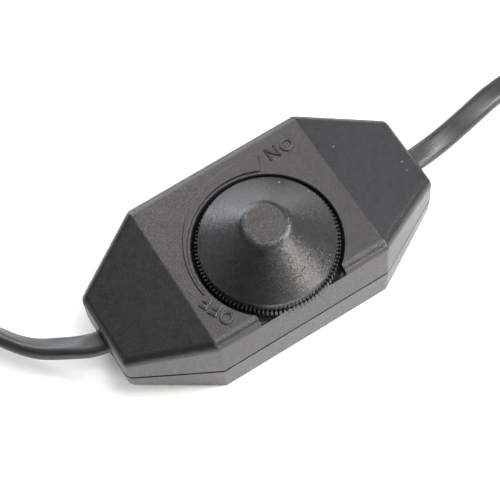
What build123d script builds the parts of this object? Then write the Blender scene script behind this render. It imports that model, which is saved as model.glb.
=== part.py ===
from build123d import *
import os
from math import atan, cos, pi, radians, sin, tan

# Inline cord dimmer: a two-shell housing with a rotary knob, its circuit and two short flat leads.
# Millimetres. The origin is the centre of the underside, X runs along the housing, Y to the back, Z up.

# Housing form
HOUSING_LENGTH = 86.0
HOUSING_WIDTH = 42.4
END_WIDTH = 20.5
FLAT_LENGTH = 45.8
TOP_HEIGHT = 26.2
SEAM_HEIGHT = 11.5
END_TOP_DROP = 6.4
END_UNDERSIDE_RISE = 6.3
UPPER_DRAFT = 0.15
LOWER_DRAFT = 0.45
TOP_EDGE_RADIUS = 2.4
END_CORNER_RADIUS = 2.5
WALL = 2.0
SEAM_GROOVE = 0.2
LIP_THICKNESS = 0.9
LIP_HEIGHT = 1.2
LIP_CLEARANCE = 0.1

# Knob recess and the raised wedge mark beside it
KNOB_Y = -4.8
RECESS_CLEARANCE = 0.5
RECESS_DEPTH = 1.9
RECESS_EDGE = 0.2
NOTCH_WIDTH = 23.2
WEDGE_GAP = 0.85
WEDGE_HEIGHT = 0.25
WEDGE_OFF_WIDTH = 0.8
WEDGE_MIDDLE_WIDTH = 1.7
WEDGE_ON_WIDTH = 4.0
WEDGE_TIP_RADIUS = 0.35
WEDGE_OFF_ANGLE = 189.0
WEDGE_ON_ANGLE = 63.0

# Knob
KNOB_GAP = 0.3
RIM_RADIUS = 17.35
RIM_HEIGHT = 3.7
BAND_HEIGHT = 1.95
BAND_DRAFT = 0.12
TOOTH_LEDGE = 0.53
TOOTH_LEDGE_DROP = 0.25
TOOTH_FLARE = 0.5
TOOTH_COUNT = 106
SLOT_UNDERCUT = 0.27
SLOT_SHARE = 0.5
SLOT_ROOT_SHARE = 0.3
DOME_HEIGHT = 9.45
PLATEAU_RADIUS = 5.5
PLATEAU_EDGE_RADIUS = 1.6
KNOB_WALL = 1.7
HUB_RADIUS = 5.2
RIB_COUNT = 4
RIB_THICKNESS = 1.0
RIB_SETBACK = 1.5

# Potentiometer with its switch
SHAFT_RADIUS = 3.0
SHAFT_FLAT = 1.5
SHAFT_COLLAR_RADIUS = 4.6
SHAFT_COLLAR_GAP = 0.4
SHAFT_RUNNING_FIT = 0.05
SHAFT_TOP_COVER = 2.6
KNOB_FIT = 0.03
BUSH_RADIUS = 3.5
BUSH_SINK = 0.5
BUSH_HOLE_CLEARANCE = 0.4
POT_RADIUS = 8.5
POT_HEIGHT = 6.4
POT_TOP = 0.8
POT_WALL = 0.5
TRACK_THICKNESS = 1.2
TRACK_CLEARANCE = 0.05
WIPER_CLEARANCE = 1.4
WIPER_THICKNESS = 1.8
WIPER_GAP = 0.4
SWITCH_HEIGHT = 6.0
TERMINAL_THICKNESS = 0.4
TERMINAL_WIDTH = 1.0
TERMINAL_PITCH = 5.0
TERMINAL_REACH = 1.6
TERMINAL_TAIL = 2.4

# Circuit board and its parts
BOARD_LENGTH = 54.0
BOARD_WIDTH = 26.4
BOARD_THICKNESS = 1.6
BOARD_STANDOFF = 3.0
BOARD_SCREW_INSET = 2.7
BOARD_SCREW_Y = 7.5
BOARD_POST_RADIUS = 2.2
BOARD_BOSS_CLEARANCE = 0.4
LEAD_RADIUS = 0.35
LEAD_HOLE_CLEARANCE = 0.15
TRANSISTOR_X = 8.0
TRANSISTOR_BODY = (8.0, 3.0, 11.0)
TRANSISTOR_HOLE_RADIUS = 1.6
TRANSISTOR_HOLE_DROP = 3.8
TRANSISTOR_LIFT = 1.2
TRANSISTOR_LEAD_PITCH = 2.3
HEAT_SINK_LENGTH = 15.0
HEAT_SINK_HEIGHT = 12.0
HEAT_SINK_THICKNESS = 1.5
HEAT_SINK_Y = 11.2
CHOKE_GAP = 0.8
CHOKE_Y = -2.0
CHOKE_OUTER = 5.8
CHOKE_INNER = 3.0
CHOKE_HEIGHT = 5.0
WINDING_THICKNESS = 0.9
WINDING_TURN = 300.0
CAPACITOR_X = -16.6
CAPACITOR_SHARE = 0.2
CAPACITOR_HEIGHT = 11.0
CAPACITOR_EDGE_RADIUS = 0.5
CAPACITOR_LEAD_PITCH = 3.5
CHIP_X = -16.9
CHIP_SIZE = (9.8, 6.3, 3.3)
CHIP_LIFT = 0.5
CHIP_ROW_PITCH = 7.62
CHIP_LEAD_PITCH = 2.54
TIMING_CAPACITOR_X = 12.0
TIMING_CAPACITOR_Y = -11.3
TIMING_CAPACITOR_SIZE = (5.0, 2.8, 7.0)
TIMING_LEAD_PITCH = 2.5
RESISTOR_X = (-10.0, -6.5, -3.0)
RESISTOR_Y = 8.6
RESISTOR_RADIUS = 1.0
RESISTOR_LENGTH = 5.2
RESISTOR_SPAN = 7.6
DIODE_X = 16.2
DIODE_Y = 6.9
DIODE_RADIUS = 1.6
DIODE_LENGTH = 6.0
DIODE_SPAN = 9.6
AXIAL_LIFT = 0.3

# Screws
HOUSING_SCREW_FOLD_INSET = 3.9
HOUSING_SCREW_SIDE_INSET = 6.5
HOUSING_BOSS_RADIUS = 4.0
SCREW_RADIUS = 1.25
SCREW_HEAD_RADIUS = 2.6
SCREW_HEAD_HEIGHT = 1.8
SCREW_HEAD_SINK = 1.4
SCREW_BITE = 9.0
SCREW_CLEARANCE = 0.05
SCREW_HOLE_CLEARANCE = 0.3
SCREW_TIP_ROOM = 1.0
CROSS_WIDTH = 0.7
CROSS_DEPTH = 0.9
CROSS_SHARE = 0.62
SMALL_SCREW_RADIUS = 1.1
SMALL_HEAD_RADIUS = 2.1
SMALL_HEAD_HEIGHT = 1.5
SMALL_SCREW_BITE = 4.5
BOARD_SCREW_BITE = 2.4
SINK_SCREW_RADIUS = 1.4
NUT_RADIUS = 2.7
NUT_THICKNESS = 2.0

# Leads and the clamps that hold them
CORD_WIDTH = 6.1
CORD_THICKNESS = 3.5
CORD_SIDE_PLAY = 1.15
CORD_HEIGHT_PLAY = 0.45
CORD_TAIL = 2.8
CORD_BEND_SHARE = 0.45
WIRE_RADIUS = 1.05
WIRE_PITCH = 2.7
WIRE_BEND = 2.6
WIRE_PAD_INSET = 1.8
CLAMP_END_INSET = 7.0
CLAMP_WIDTH = 5.0
CLAMP_THICKNESS = 2.2
CLAMP_SIDE_ROOM = 0.75
CLAMP_POST_RADIUS = 2.4

# Connectors at the far ends of the leads
RELIEF_LENGTH = 11.0
RELIEF_TIP_RADIUS = 3.7
RELIEF_ROOT_RADIUS = 4.4
RELIEF_RING_COUNT = 4
RELIEF_RING_DEPTH = 0.55
RELIEF_RING_WIDTH = 1.0
GRIP_RADIUS = 5.25
GRIP_CHAMFER = 0.6
GRIP_SLOT_COUNT = 10
GRIP_SLOT_WIDTH = 0.9
GRIP_SLOT_DEPTH = 0.35
GRIP_SLOT_MARGIN = 2.2
SOCKET_LENGTH = 22.0
SOCKET_BORE_RADIUS = 2.85
SOCKET_CONTACT_WALL = 0.3
SOCKET_CONTACT_INSET = 0.8
SOCKET_DEPTH = 10.0
SOCKET_PIN_RADIUS = 1.0
SOCKET_PIN_INSET = 1.0
PLUG_LENGTH = 15.0
BARREL_RADIUS = 2.75
BARREL_WALL = 0.55
BARREL_LENGTH = 9.5
BARREL_ROOT = 5.0
BARREL_SHOULDER = 0.3
BARREL_BORE_RADIUS = 1.05

# Places and heights that follow from the sizes
RECESS_RADIUS = RIM_RADIUS + RECESS_CLEARANCE
RECESS_FLOOR = TOP_HEIGHT - RECESS_DEPTH
BOARD_BOTTOM = WALL + BOARD_STANDOFF
BOARD_TOP = BOARD_BOTTOM + BOARD_THICKNESS
BOARD_SCREW_X = BOARD_LENGTH / 2 - BOARD_SCREW_INSET
SWITCH_TOP = BOARD_TOP + SWITCH_HEIGHT
POT_BOTTOM = SWITCH_TOP + TERMINAL_THICKNESS
POT_LID = POT_BOTTOM + POT_HEIGHT
WIPER_BOTTOM = POT_BOTTOM + TRACK_THICKNESS + WIPER_GAP
WIPER_TOP = WIPER_BOTTOM + WIPER_THICKNESS
WIPER_RADIUS = POT_RADIUS - POT_WALL - WIPER_CLEARANCE
COLLAR_TOP = POT_LID - POT_TOP - SHAFT_COLLAR_GAP
KNOB_BOTTOM = RECESS_FLOOR + KNOB_GAP
DOME_BOTTOM = KNOB_BOTTOM + RIM_HEIGHT
KNOB_TOP = DOME_BOTTOM + DOME_HEIGHT
TOOTH_TOP = DOME_BOTTOM - BAND_HEIGHT
TOOTH_TOP_RADIUS = RIM_RADIUS - TOOTH_FLARE
BAND_RADIUS = TOOTH_TOP_RADIUS - TOOTH_LEDGE
DOME_RADIUS = BAND_RADIUS - BAND_DRAFT
SLOT_ROOT_RADIUS = BAND_RADIUS - SLOT_UNDERCUT
SHAFT_TOP = KNOB_TOP - SHAFT_TOP_COVER
TERMINAL_X = -(POT_RADIUS + TERMINAL_REACH)
TERMINAL_YS = [KNOB_Y + step * TERMINAL_PITCH for step in (-1, 0, 1)]
TRANSISTOR_BOTTOM = BOARD_TOP + TRANSISTOR_LIFT
TRANSISTOR_FRONT = HEAT_SINK_Y - TRANSISTOR_BODY[1]
HEAT_SINK_BACK = HEAT_SINK_Y + HEAT_SINK_THICKNESS
CHOKE_X = POT_RADIUS + CHOKE_GAP + CHOKE_OUTER + WINDING_THICKNESS
CHOKE_BOTTOM = BOARD_TOP + WINDING_THICKNESS
CHOKE_TOP = CHOKE_BOTTOM + CHOKE_HEIGHT
HOUSING_SCREW_X = FLAT_LENGTH / 2 - HOUSING_SCREW_FOLD_INSET
HOUSING_SCREW_Y = HOUSING_WIDTH / 2 - HOUSING_SCREW_SIDE_INSET
BOSS_ROOM = 2 * (HOUSING_SCREW_Y - HOUSING_BOSS_RADIUS)
CAPACITOR_RADIUS = CAPACITOR_SHARE * BOSS_ROOM
CHIP_DEPTH = CHIP_ROW_PITCH + 2 * LEAD_RADIUS
CHIP_GAP = (BOSS_ROOM - 2 * CAPACITOR_RADIUS - CHIP_DEPTH) / 3
CAPACITOR_Y = -(BOSS_ROOM / 2 - CHIP_GAP - CAPACITOR_RADIUS)
CHIP_Y = BOSS_ROOM / 2 - CHIP_GAP - CHIP_DEPTH / 2
SCREW_HEAD_TOP = SCREW_HEAD_SINK + SCREW_HEAD_HEIGHT
CLAMP_X = HOUSING_LENGTH / 2 - CLAMP_END_INSET
CLAMP_SCREW_Y = CORD_WIDTH / 2 + CLAMP_SIDE_ROOM + CLAMP_POST_RADIUS
CLAMP_BOTTOM = SEAM_HEIGHT + CORD_THICKNESS / 2
CLAMP_TOP = CLAMP_BOTTOM + CLAMP_THICKNESS
CORD_INNER_X = CLAMP_X - CORD_TAIL
WIRE_PAD_X = BOARD_LENGTH / 2 - WIRE_PAD_INSET
SOCKET_END = RELIEF_LENGTH + SOCKET_LENGTH
SOCKET_FLOOR = SOCKET_END - SOCKET_DEPTH
PLUG_FACE = RELIEF_LENGTH + PLUG_LENGTH
PLUG_ROOT = PLUG_FACE - BARREL_ROOT
PLUG_TIP = PLUG_FACE + BARREL_LENGTH
END_RUN = (HOUSING_LENGTH - FLAT_LENGTH) / 2
OVERRUN = 5.0

# Routes of the two leads, from inside the housing to the tip of each connector's strain relief
INPUT_ROUTE = [
    (-CORD_INNER_X, 0.0, SEAM_HEIGHT),
    (-43.2, 0.0, SEAM_HEIGHT),
    (-51.9, 5.6, 9.7),
    (-59.2, 11.9, 6.3),
    (-66.3, 23.0, GRIP_RADIUS),
    (-79.0, 27.4, GRIP_RADIUS),
    (-89.0, 27.4, GRIP_RADIUS),
]
OUTPUT_ROUTE = [
    (CORD_INNER_X, 0.0, SEAM_HEIGHT),
    (43.0, 0.0, SEAM_HEIGHT),
    (53.0, 1.2, 10.8),
    (63.5, 4.4, 7.2),
    (75.5, 7.6, GRIP_RADIUS),
    (85.0, 7.6, GRIP_RADIUS),
]


def upright(radius, bottom, top, x=0.0, y=0.0):
    """A vertical round bar between two heights."""
    return Pos(x, y, (bottom + top) / 2) * Cylinder(radius, top - bottom)


def block(size, x, y, bottom):
    """A box that stands on a height."""
    return Pos(x, y, bottom + size[2] / 2) * Box(*size)


def ring(outer, inner, bottom, top, x=0.0, y=0.0):
    """An upright tube between two heights."""
    return upright(outer, bottom, top, x, y) - upright(inner, bottom, top, x, y)


def turned(points, turn=360.0):
    """A solid of revolution about Z from (radius, height) points."""
    return revolve(Plane.XZ * make_face(Polyline(*points, close=True)), Axis.Z, turn)


def four(x, y):
    """The four places that mirror one place about both centre lines."""
    return [(sx * x, sy * y) for sx in (-1, 1) for sy in (-1, 1)]


# Housing shells
def plan_face(inset, height, corner=0.0):
    """The outline seen from above, drawn in by inset, at one height."""
    end_x, end_y = HOUSING_LENGTH / 2, END_WIDTH / 2
    fold_x, fold_y = FLAT_LENGTH / 2, HOUSING_WIDTH / 2
    half = [(-end_x, -end_y), (-fold_x, -fold_y), (fold_x, -fold_y), (end_x, -end_y)]
    face = make_face(Polyline(*half, *[(-x, -y) for x, y in half], close=True))
    if inset:
        face = offset(face, -inset, kind=Kind.INTERSECTION)
    if corner:
        ends = [v for v in face.vertices() if abs(v.X) > (fold_x + end_x) / 2]
        face = fillet(ends, corner)
    return Pos(0, 0, height) * face


def side_prism(flat_height, end_drop, way, inset):
    """A prism across the housing from the seam to the folded top or underside, drawn in by inset."""
    slope = atan(end_drop / END_RUN)
    fold_x = FLAT_LENGTH / 2 - inset * tan(slope / 2)
    flat = flat_height - way * inset
    far_x = HOUSING_LENGTH / 2 + OVERRUN
    far = flat - way * (far_x - fold_x) * tan(slope)
    right = [(far_x, SEAM_HEIGHT), (far_x, far), (fold_x, flat)]
    outline = Polyline(*right, *[(-x, z) for x, z in reversed(right)], close=True)
    return extrude(Plane.XZ * make_face(outline), HOUSING_WIDTH, both=True)


def upper_form(inset, corner=0.0):
    """The upper half as a plain block, drawn in by inset."""
    outlines = [plan_face(inset, SEAM_HEIGHT, corner), plan_face(inset + UPPER_DRAFT, TOP_HEIGHT, corner)]
    return loft(outlines, ruled=True) & side_prism(TOP_HEIGHT, END_TOP_DROP, 1, inset)


def lower_form(inset, corner=0.0):
    """The lower half as a plain block, drawn in by inset."""
    outlines = [plan_face(inset + LOWER_DRAFT, 0, corner), plan_face(inset, SEAM_HEIGHT, corner)]
    return loft(outlines, ruled=True) & side_prism(0, END_UNDERSIDE_RISE, -1, inset)


def grooved(form):
    """The form with its outer edge broken along the seam."""
    seam = form.edges().filter_by_position(Axis.Z, SEAM_HEIGHT - 0.001, SEAM_HEIGHT + 0.001)
    return chamfer(seam, SEAM_GROOVE)


def rounded_top(form):
    """The form with the edge all round its folded top rounded."""
    tops = [f for f in form.faces() if f.normal_at(f.center()).Z > 0.5]
    shared = {}
    for edge in [e for f in tops for e in f.edges()]:
        shared.setdefault(tuple(round(c, 3) for c in edge.center()), []).append(edge)
    return fillet([found[0] for found in shared.values() if len(found) == 1], TOP_EDGE_RADIUS)


def cord_openings():
    """The slots through both end walls, half in each shell."""
    slot = SlotOverall(CORD_WIDTH + 2 * CORD_SIDE_PLAY, CORD_THICKNESS + 2 * CORD_HEIGHT_PLAY)
    through = extrude(Plane.YZ * slot, HOUSING_LENGTH / 2 + OVERRUN, both=True)
    through -= Box(2 * CORD_INNER_X, END_WIDTH, END_WIDTH)
    return Pos(0, 0, SEAM_HEIGHT) * through


def recess(extra, bottom, top):
    """The round knob recess with its notch through the front wall, grown by extra."""
    notch_depth = HOUSING_WIDTH / 2 + OVERRUN + KNOB_Y
    notch_y = KNOB_Y - notch_depth / 2
    notch = block((NOTCH_WIDTH + 2 * extra, notch_depth, top - bottom), 0, notch_y, bottom)
    return upright(RECESS_RADIUS + extra, bottom, top, 0, KNOB_Y) + notch


def wedge_mark():
    """The raised wedge that widens from the off end to the on end."""
    inner = RECESS_RADIUS + WEDGE_GAP
    middle = (WEDGE_OFF_ANGLE + WEDGE_ON_ANGLE) / 2

    def place(radius, angle):
        return (radius * cos(radians(angle)), KNOB_Y + radius * sin(radians(angle)))

    outer_points = [
        place(inner + WEDGE_OFF_WIDTH, WEDGE_OFF_ANGLE),
        place(inner + WEDGE_MIDDLE_WIDTH, middle),
        place(inner + WEDGE_ON_WIDTH, WEDGE_ON_ANGLE),
    ]
    inner_points = [place(inner, angle) for angle in (WEDGE_ON_ANGLE, middle, WEDGE_OFF_ANGLE)]
    outline = [
        ThreePointArc(*outer_points),
        Line(outer_points[-1], inner_points[0]),
        ThreePointArc(*inner_points),
        Line(inner_points[-1], outer_points[0]),
    ]
    face = make_face(outline)
    tip = face.vertices().sort_by_distance((*inner_points[-1], 0))[:2]
    return Pos(0, 0, TOP_HEIGHT) * extrude(fillet(tip, WEDGE_TIP_RADIUS), WEDGE_HEIGHT)


def upper_housing():
    form = rounded_top(grooved(upper_form(0, END_CORNER_RADIUS)))
    shell = form - upper_form(WALL)
    shell += form & recess(WALL, RECESS_FLOOR - WALL, TOP_HEIGHT)
    for x, y in four(HOUSING_SCREW_X, HOUSING_SCREW_Y):
        shell += form & upright(HOUSING_BOSS_RADIUS, SEAM_HEIGHT, TOP_HEIGHT, x, y)
    shell -= recess(0, RECESS_FLOOR, TOP_HEIGHT + OVERRUN)
    broken_edge = Cone(RECESS_RADIUS, RECESS_RADIUS + RECESS_EDGE, RECESS_EDGE)
    shell -= Pos(0, KNOB_Y, TOP_HEIGHT - RECESS_EDGE / 2) * broken_edge
    shell -= upright(BUSH_RADIUS + BUSH_HOLE_CLEARANCE, RECESS_FLOOR - 2 * WALL, TOP_HEIGHT, 0, KNOB_Y)
    pilot_top = SEAM_HEIGHT + SCREW_BITE + SCREW_TIP_ROOM
    for x, y in four(HOUSING_SCREW_X, HOUSING_SCREW_Y):
        shell -= upright(SCREW_RADIUS + SCREW_CLEARANCE, SEAM_HEIGHT - OVERRUN, pilot_top, x, y)
    rebate_outline = plan_face(WALL - LIP_THICKNESS - LIP_CLEARANCE, SEAM_HEIGHT)
    rebate = extrude(rebate_outline - plan_face(WALL, SEAM_HEIGHT), LIP_HEIGHT + LIP_CLEARANCE)
    return shell - rebate - cord_openings() + wedge_mark()


def lower_housing():
    form = grooved(lower_form(0, END_CORNER_RADIUS))
    shell = form - lower_form(WALL)
    lip = plan_face(WALL - LIP_THICKNESS, SEAM_HEIGHT) - plan_face(WALL, SEAM_HEIGHT)
    shell += extrude(lip, LIP_HEIGHT) + extrude(lip, -LIP_HEIGHT)
    for x, y in four(HOUSING_SCREW_X, HOUSING_SCREW_Y):
        shell += form & upright(HOUSING_BOSS_RADIUS, 0, SEAM_HEIGHT, x, y)
    for x, y in four(BOARD_SCREW_X, BOARD_SCREW_Y):
        shell += form & upright(BOARD_POST_RADIUS, 0, BOARD_BOTTOM, x, y)
    for side in (-1, 1):
        saddle = (CLAMP_WIDTH, 2 * CLAMP_SCREW_Y, SEAM_HEIGHT - CORD_THICKNESS / 2)
        shell += form & block(saddle, side * CLAMP_X, 0, 0)
        for y in (-CLAMP_SCREW_Y, CLAMP_SCREW_Y):
            foot = form & upright(CLAMP_POST_RADIUS, 0, SEAM_HEIGHT, side * CLAMP_X, y)
            shell += foot + upright(CLAMP_POST_RADIUS, SEAM_HEIGHT, CLAMP_BOTTOM, side * CLAMP_X, y)
            bottom = CLAMP_BOTTOM - SMALL_SCREW_BITE - SCREW_TIP_ROOM
            shell -= upright(SMALL_SCREW_RADIUS + SCREW_CLEARANCE, bottom, CLAMP_TOP, side * CLAMP_X, y)
    for x, y in four(HOUSING_SCREW_X, HOUSING_SCREW_Y):
        shell -= upright(SCREW_RADIUS + SCREW_HOLE_CLEARANCE, 0, SEAM_HEIGHT + OVERRUN, x, y)
        shell -= upright(SCREW_HEAD_RADIUS + SCREW_HOLE_CLEARANCE, -OVERRUN, SCREW_HEAD_TOP, x, y)
    for x, y in four(BOARD_SCREW_X, BOARD_SCREW_Y):
        bottom = BOARD_BOTTOM - BOARD_SCREW_BITE
        shell -= upright(SMALL_SCREW_RADIUS + SCREW_CLEARANCE, bottom, BOARD_TOP, x, y)
    return shell - cord_openings()


# Knob and potentiometer
def control_knob():
    slope = DOME_HEIGHT / (DOME_RADIUS - PLATEAU_RADIUS)
    body = turned(
        [
            (0, KNOB_BOTTOM),
            (RIM_RADIUS, KNOB_BOTTOM),
            (TOOTH_TOP_RADIUS, TOOTH_TOP - TOOTH_LEDGE_DROP),
            (BAND_RADIUS, TOOTH_TOP),
            (DOME_RADIUS, DOME_BOTTOM),
            (PLATEAU_RADIUS, KNOB_TOP),
            (0, KNOB_TOP),
        ]
    )
    plateau = body.edges().filter_by(GeomType.CIRCLE).sort_by(Axis.Z)[-1]
    body = fillet(plateau, PLATEAU_EDGE_RADIUS)
    skirt_inner = SLOT_ROOT_RADIUS - KNOB_WALL
    drop = KNOB_WALL * (1 + slope**2) ** 0.5
    ceiling_at_skirt = DOME_BOTTOM + (DOME_RADIUS - skirt_inner) * slope - drop
    ceiling_at_hub = DOME_BOTTOM + (DOME_RADIUS - HUB_RADIUS) * slope - drop
    hollow = turned(
        [
            (HUB_RADIUS, KNOB_BOTTOM),
            (skirt_inner, KNOB_BOTTOM),
            (skirt_inner, ceiling_at_skirt),
            (HUB_RADIUS, ceiling_at_hub),
        ]
    )
    rib_height = KNOB_TOP - KNOB_BOTTOM - RIB_SETBACK
    for index in range(RIB_COUNT):
        rib = block((RIM_RADIUS, RIB_THICKNESS, rib_height), RIM_RADIUS / 2, 0, KNOB_BOTTOM + RIB_SETBACK)
        hollow -= Rot(0, 0, index * 360 / RIB_COUNT) * rib
    body -= hollow
    body -= knurl_slots()
    bore_flat = SHAFT_RADIUS - SHAFT_FLAT + KNOB_FIT
    bore = d_bar(SHAFT_RADIUS + KNOB_FIT, bore_flat, KNOB_BOTTOM, SHAFT_TOP + KNOB_FIT)
    return Pos(0, KNOB_Y, 0) * (body - bore)


def knurl_slots():
    """A ring of upright slots round the rim, closed at the top under the smooth band."""
    root = SLOT_ROOT_RADIUS
    outer = 2 * RIM_RADIUS - root
    root_angle = pi * SLOT_ROOT_SHARE / TOOTH_COUNT
    outer_angle = 2 * pi * SLOT_SHARE / TOOTH_COUNT - root_angle
    corners = [(outer, -outer_angle), (root, -root_angle), (root, root_angle), (outer, outer_angle)]
    points = []
    for index in range(TOOTH_COUNT):
        middle = 2 * pi * index / TOOTH_COUNT
        points += [(r * cos(middle + angle), r * sin(middle + angle)) for r, angle in corners]
    star = make_face(Polyline(*points, close=True))
    rim = make_face(Circle(outer + OVERRUN).edges())
    return Pos(0, 0, KNOB_BOTTOM) * extrude(rim - star, TOOTH_TOP - KNOB_BOTTOM)


def d_bar(radius, flat, bottom, top):
    """An upright bar with one flat side."""
    far = 2 * radius
    return upright(radius, bottom, top) - block((far, 2 * far, top - bottom), flat + radius, 0, bottom)


def pot_shaft():
    shaft = upright(SHAFT_COLLAR_RADIUS, WIPER_TOP, COLLAR_TOP)
    shaft += upright(SHAFT_RADIUS, COLLAR_TOP, KNOB_BOTTOM)
    shaft += d_bar(SHAFT_RADIUS, SHAFT_RADIUS - SHAFT_FLAT, KNOB_BOTTOM, SHAFT_TOP)
    return Pos(0, KNOB_Y, 0) * shaft


def pot_wiper():
    disc = upright(WIPER_RADIUS, WIPER_BOTTOM, WIPER_TOP, 0, KNOB_Y)
    finger = (WIPER_RADIUS, TERMINAL_WIDTH, WIPER_GAP / 2)
    return disc + block(finger, WIPER_RADIUS / 2, KNOB_Y, WIPER_BOTTOM - finger[2])


def pot_case():
    can = upright(POT_RADIUS, POT_BOTTOM, POT_LID, 0, KNOB_Y)
    can -= upright(POT_RADIUS - POT_WALL, POT_BOTTOM, POT_LID - POT_TOP, 0, KNOB_Y)
    return can - upright(SHAFT_RADIUS + BUSH_HOLE_CLEARANCE, POT_BOTTOM, POT_LID, 0, KNOB_Y)


def pot_bush():
    return ring(BUSH_RADIUS, SHAFT_RADIUS + SHAFT_RUNNING_FIT, POT_LID, RECESS_FLOOR - BUSH_SINK, 0, KNOB_Y)


def pot_track():
    radius = POT_RADIUS - POT_WALL - TRACK_CLEARANCE
    return upright(radius, POT_BOTTOM, POT_BOTTOM + TRACK_THICKNESS, 0, KNOB_Y)


def pot_terminals():
    """Three tabs that leave under the track and turn down through the board."""
    solids = []
    inner_x = -POT_RADIUS / 2
    tail_bottom = BOARD_BOTTOM - TERMINAL_TAIL
    for y in TERMINAL_YS:
        tab = (inner_x - TERMINAL_X, TERMINAL_WIDTH, TERMINAL_THICKNESS)
        leg = (TERMINAL_THICKNESS, TERMINAL_WIDTH, POT_BOTTOM - tail_bottom)
        bent = block(tab, (inner_x + TERMINAL_X) / 2, y, SWITCH_TOP)
        solids.append(bent + block(leg, TERMINAL_X, y, tail_bottom))
    return solids


def switch_case():
    return upright(POT_RADIUS, BOARD_TOP, SWITCH_TOP, 0, KNOB_Y)


def switch_terminals():
    bottom = BOARD_BOTTOM - TERMINAL_TAIL
    return [upright(2 * LEAD_RADIUS, bottom, BOARD_TOP, x, y) for x, y in switch_places()]


def switch_places():
    return [(step * TERMINAL_PITCH, KNOB_Y) for step in (-0.5, 0.5)]


# Circuit board
def lead_places():
    """Where leads go through the board, with each hole's radius."""
    places = [(x, y, 2 * LEAD_RADIUS) for x, y in switch_places()]
    places += [(TERMINAL_X, y, TERMINAL_WIDTH / 2) for y in TERMINAL_YS]
    fine = transistor_places() + choke_places() + chip_places()
    fine += capacitor_places() + timing_places() + resistor_places() + diode_places()
    return places + [(x, y, LEAD_RADIUS) for x, y in fine]


def transistor_places():
    y = HEAT_SINK_Y - TRANSISTOR_BODY[1] / 2
    return [(TRANSISTOR_X + step * TRANSISTOR_LEAD_PITCH, y) for step in (-1, 0, 1)]


def choke_places():
    return [(CHOKE_X + CHOKE_OUTER * cos(turn), CHOKE_Y + CHOKE_OUTER * sin(turn)) for turn in choke_ends()]


def choke_ends():
    """The two angles at which the winding's ends go down, just inside its gap."""
    margin = radians((360 - WINDING_TURN) / 4)
    return [margin, radians(WINDING_TURN) - margin]


def chip_places():
    columns = [CHIP_X + (step - 1.5) * CHIP_LEAD_PITCH for step in range(4)]
    return [(x, CHIP_Y + side * CHIP_ROW_PITCH / 2) for x in columns for side in (-1, 1)]


def capacitor_places():
    return [(CAPACITOR_X, CAPACITOR_Y + side * CAPACITOR_LEAD_PITCH / 2) for side in (-1, 1)]


def timing_places():
    return [(TIMING_CAPACITOR_X + side * TIMING_LEAD_PITCH / 2, TIMING_CAPACITOR_Y) for side in (-1, 1)]


def resistor_places():
    return [(x, RESISTOR_Y + side * RESISTOR_SPAN / 2) for x in RESISTOR_X for side in (-1, 1)]


def diode_places():
    return [(DIODE_X + side * DIODE_SPAN / 2, DIODE_Y) for side in (-1, 1)]


def circuit_board():
    board = block((BOARD_LENGTH, BOARD_WIDTH, BOARD_THICKNESS), 0, 0, BOARD_BOTTOM)
    for x, y in four(HOUSING_SCREW_X, HOUSING_SCREW_Y):
        board -= upright(HOUSING_BOSS_RADIUS + BOARD_BOSS_CLEARANCE, BOARD_BOTTOM, BOARD_TOP, x, y)
    for x, y in four(BOARD_SCREW_X, BOARD_SCREW_Y):
        board -= upright(SMALL_SCREW_RADIUS + SCREW_HOLE_CLEARANCE, BOARD_BOTTOM, BOARD_TOP, x, y)
    for x, y, radius in lead_places():
        board -= upright(radius + LEAD_HOLE_CLEARANCE, BOARD_BOTTOM, BOARD_TOP, x, y)
    return board


def with_leads(body, places, top):
    """The body with a straight lead from each place's underside of the board up to a height."""
    for x, y in places:
        body += upright(LEAD_RADIUS, BOARD_BOTTOM - LEAD_RADIUS, top, x, y)
    return body


def power_transistor():
    body = block(TRANSISTOR_BODY, TRANSISTOR_X, HEAT_SINK_Y - TRANSISTOR_BODY[1] / 2, TRANSISTOR_BOTTOM)
    body -= across(TRANSISTOR_HOLE_RADIUS, TRANSISTOR_FRONT, HEAT_SINK_Y)
    return with_leads(body, transistor_places(), TRANSISTOR_BOTTOM)


def across(radius, front, back):
    """A round bar from front to back through the transistor's hole."""
    height = TRANSISTOR_BOTTOM + TRANSISTOR_BODY[2] - TRANSISTOR_HOLE_DROP
    return Pos(TRANSISTOR_X, (front + back) / 2, height) * Rot(90, 0, 0) * Cylinder(radius, back - front)


def heat_sink():
    plate = (HEAT_SINK_LENGTH, HEAT_SINK_THICKNESS, HEAT_SINK_HEIGHT)
    sink = block(plate, TRANSISTOR_X, HEAT_SINK_Y + HEAT_SINK_THICKNESS / 2, BOARD_TOP)
    return sink - across(TRANSISTOR_HOLE_RADIUS, HEAT_SINK_Y, HEAT_SINK_BACK)


def heat_sink_screw():
    head = across(SMALL_HEAD_RADIUS, TRANSISTOR_FRONT - SMALL_HEAD_HEIGHT, TRANSISTOR_FRONT)
    return head + across(SINK_SCREW_RADIUS, TRANSISTOR_FRONT, HEAT_SINK_BACK + NUT_THICKNESS)


def heat_sink_nut():
    height = TRANSISTOR_BOTTOM + TRANSISTOR_BODY[2] - TRANSISTOR_HOLE_DROP
    hexagon = Pos(TRANSISTOR_X, HEAT_SINK_BACK, height) * Rot(-90, 0, 0) * RegularPolygon(NUT_RADIUS, 6)
    nut = extrude(hexagon, NUT_THICKNESS)
    return nut - across(SINK_SCREW_RADIUS + SCREW_CLEARANCE, HEAT_SINK_BACK, HEAT_SINK_BACK + NUT_THICKNESS)


def choke_core():
    return ring(CHOKE_OUTER, CHOKE_INNER, CHOKE_BOTTOM, CHOKE_TOP, CHOKE_X, CHOKE_Y)


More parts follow.
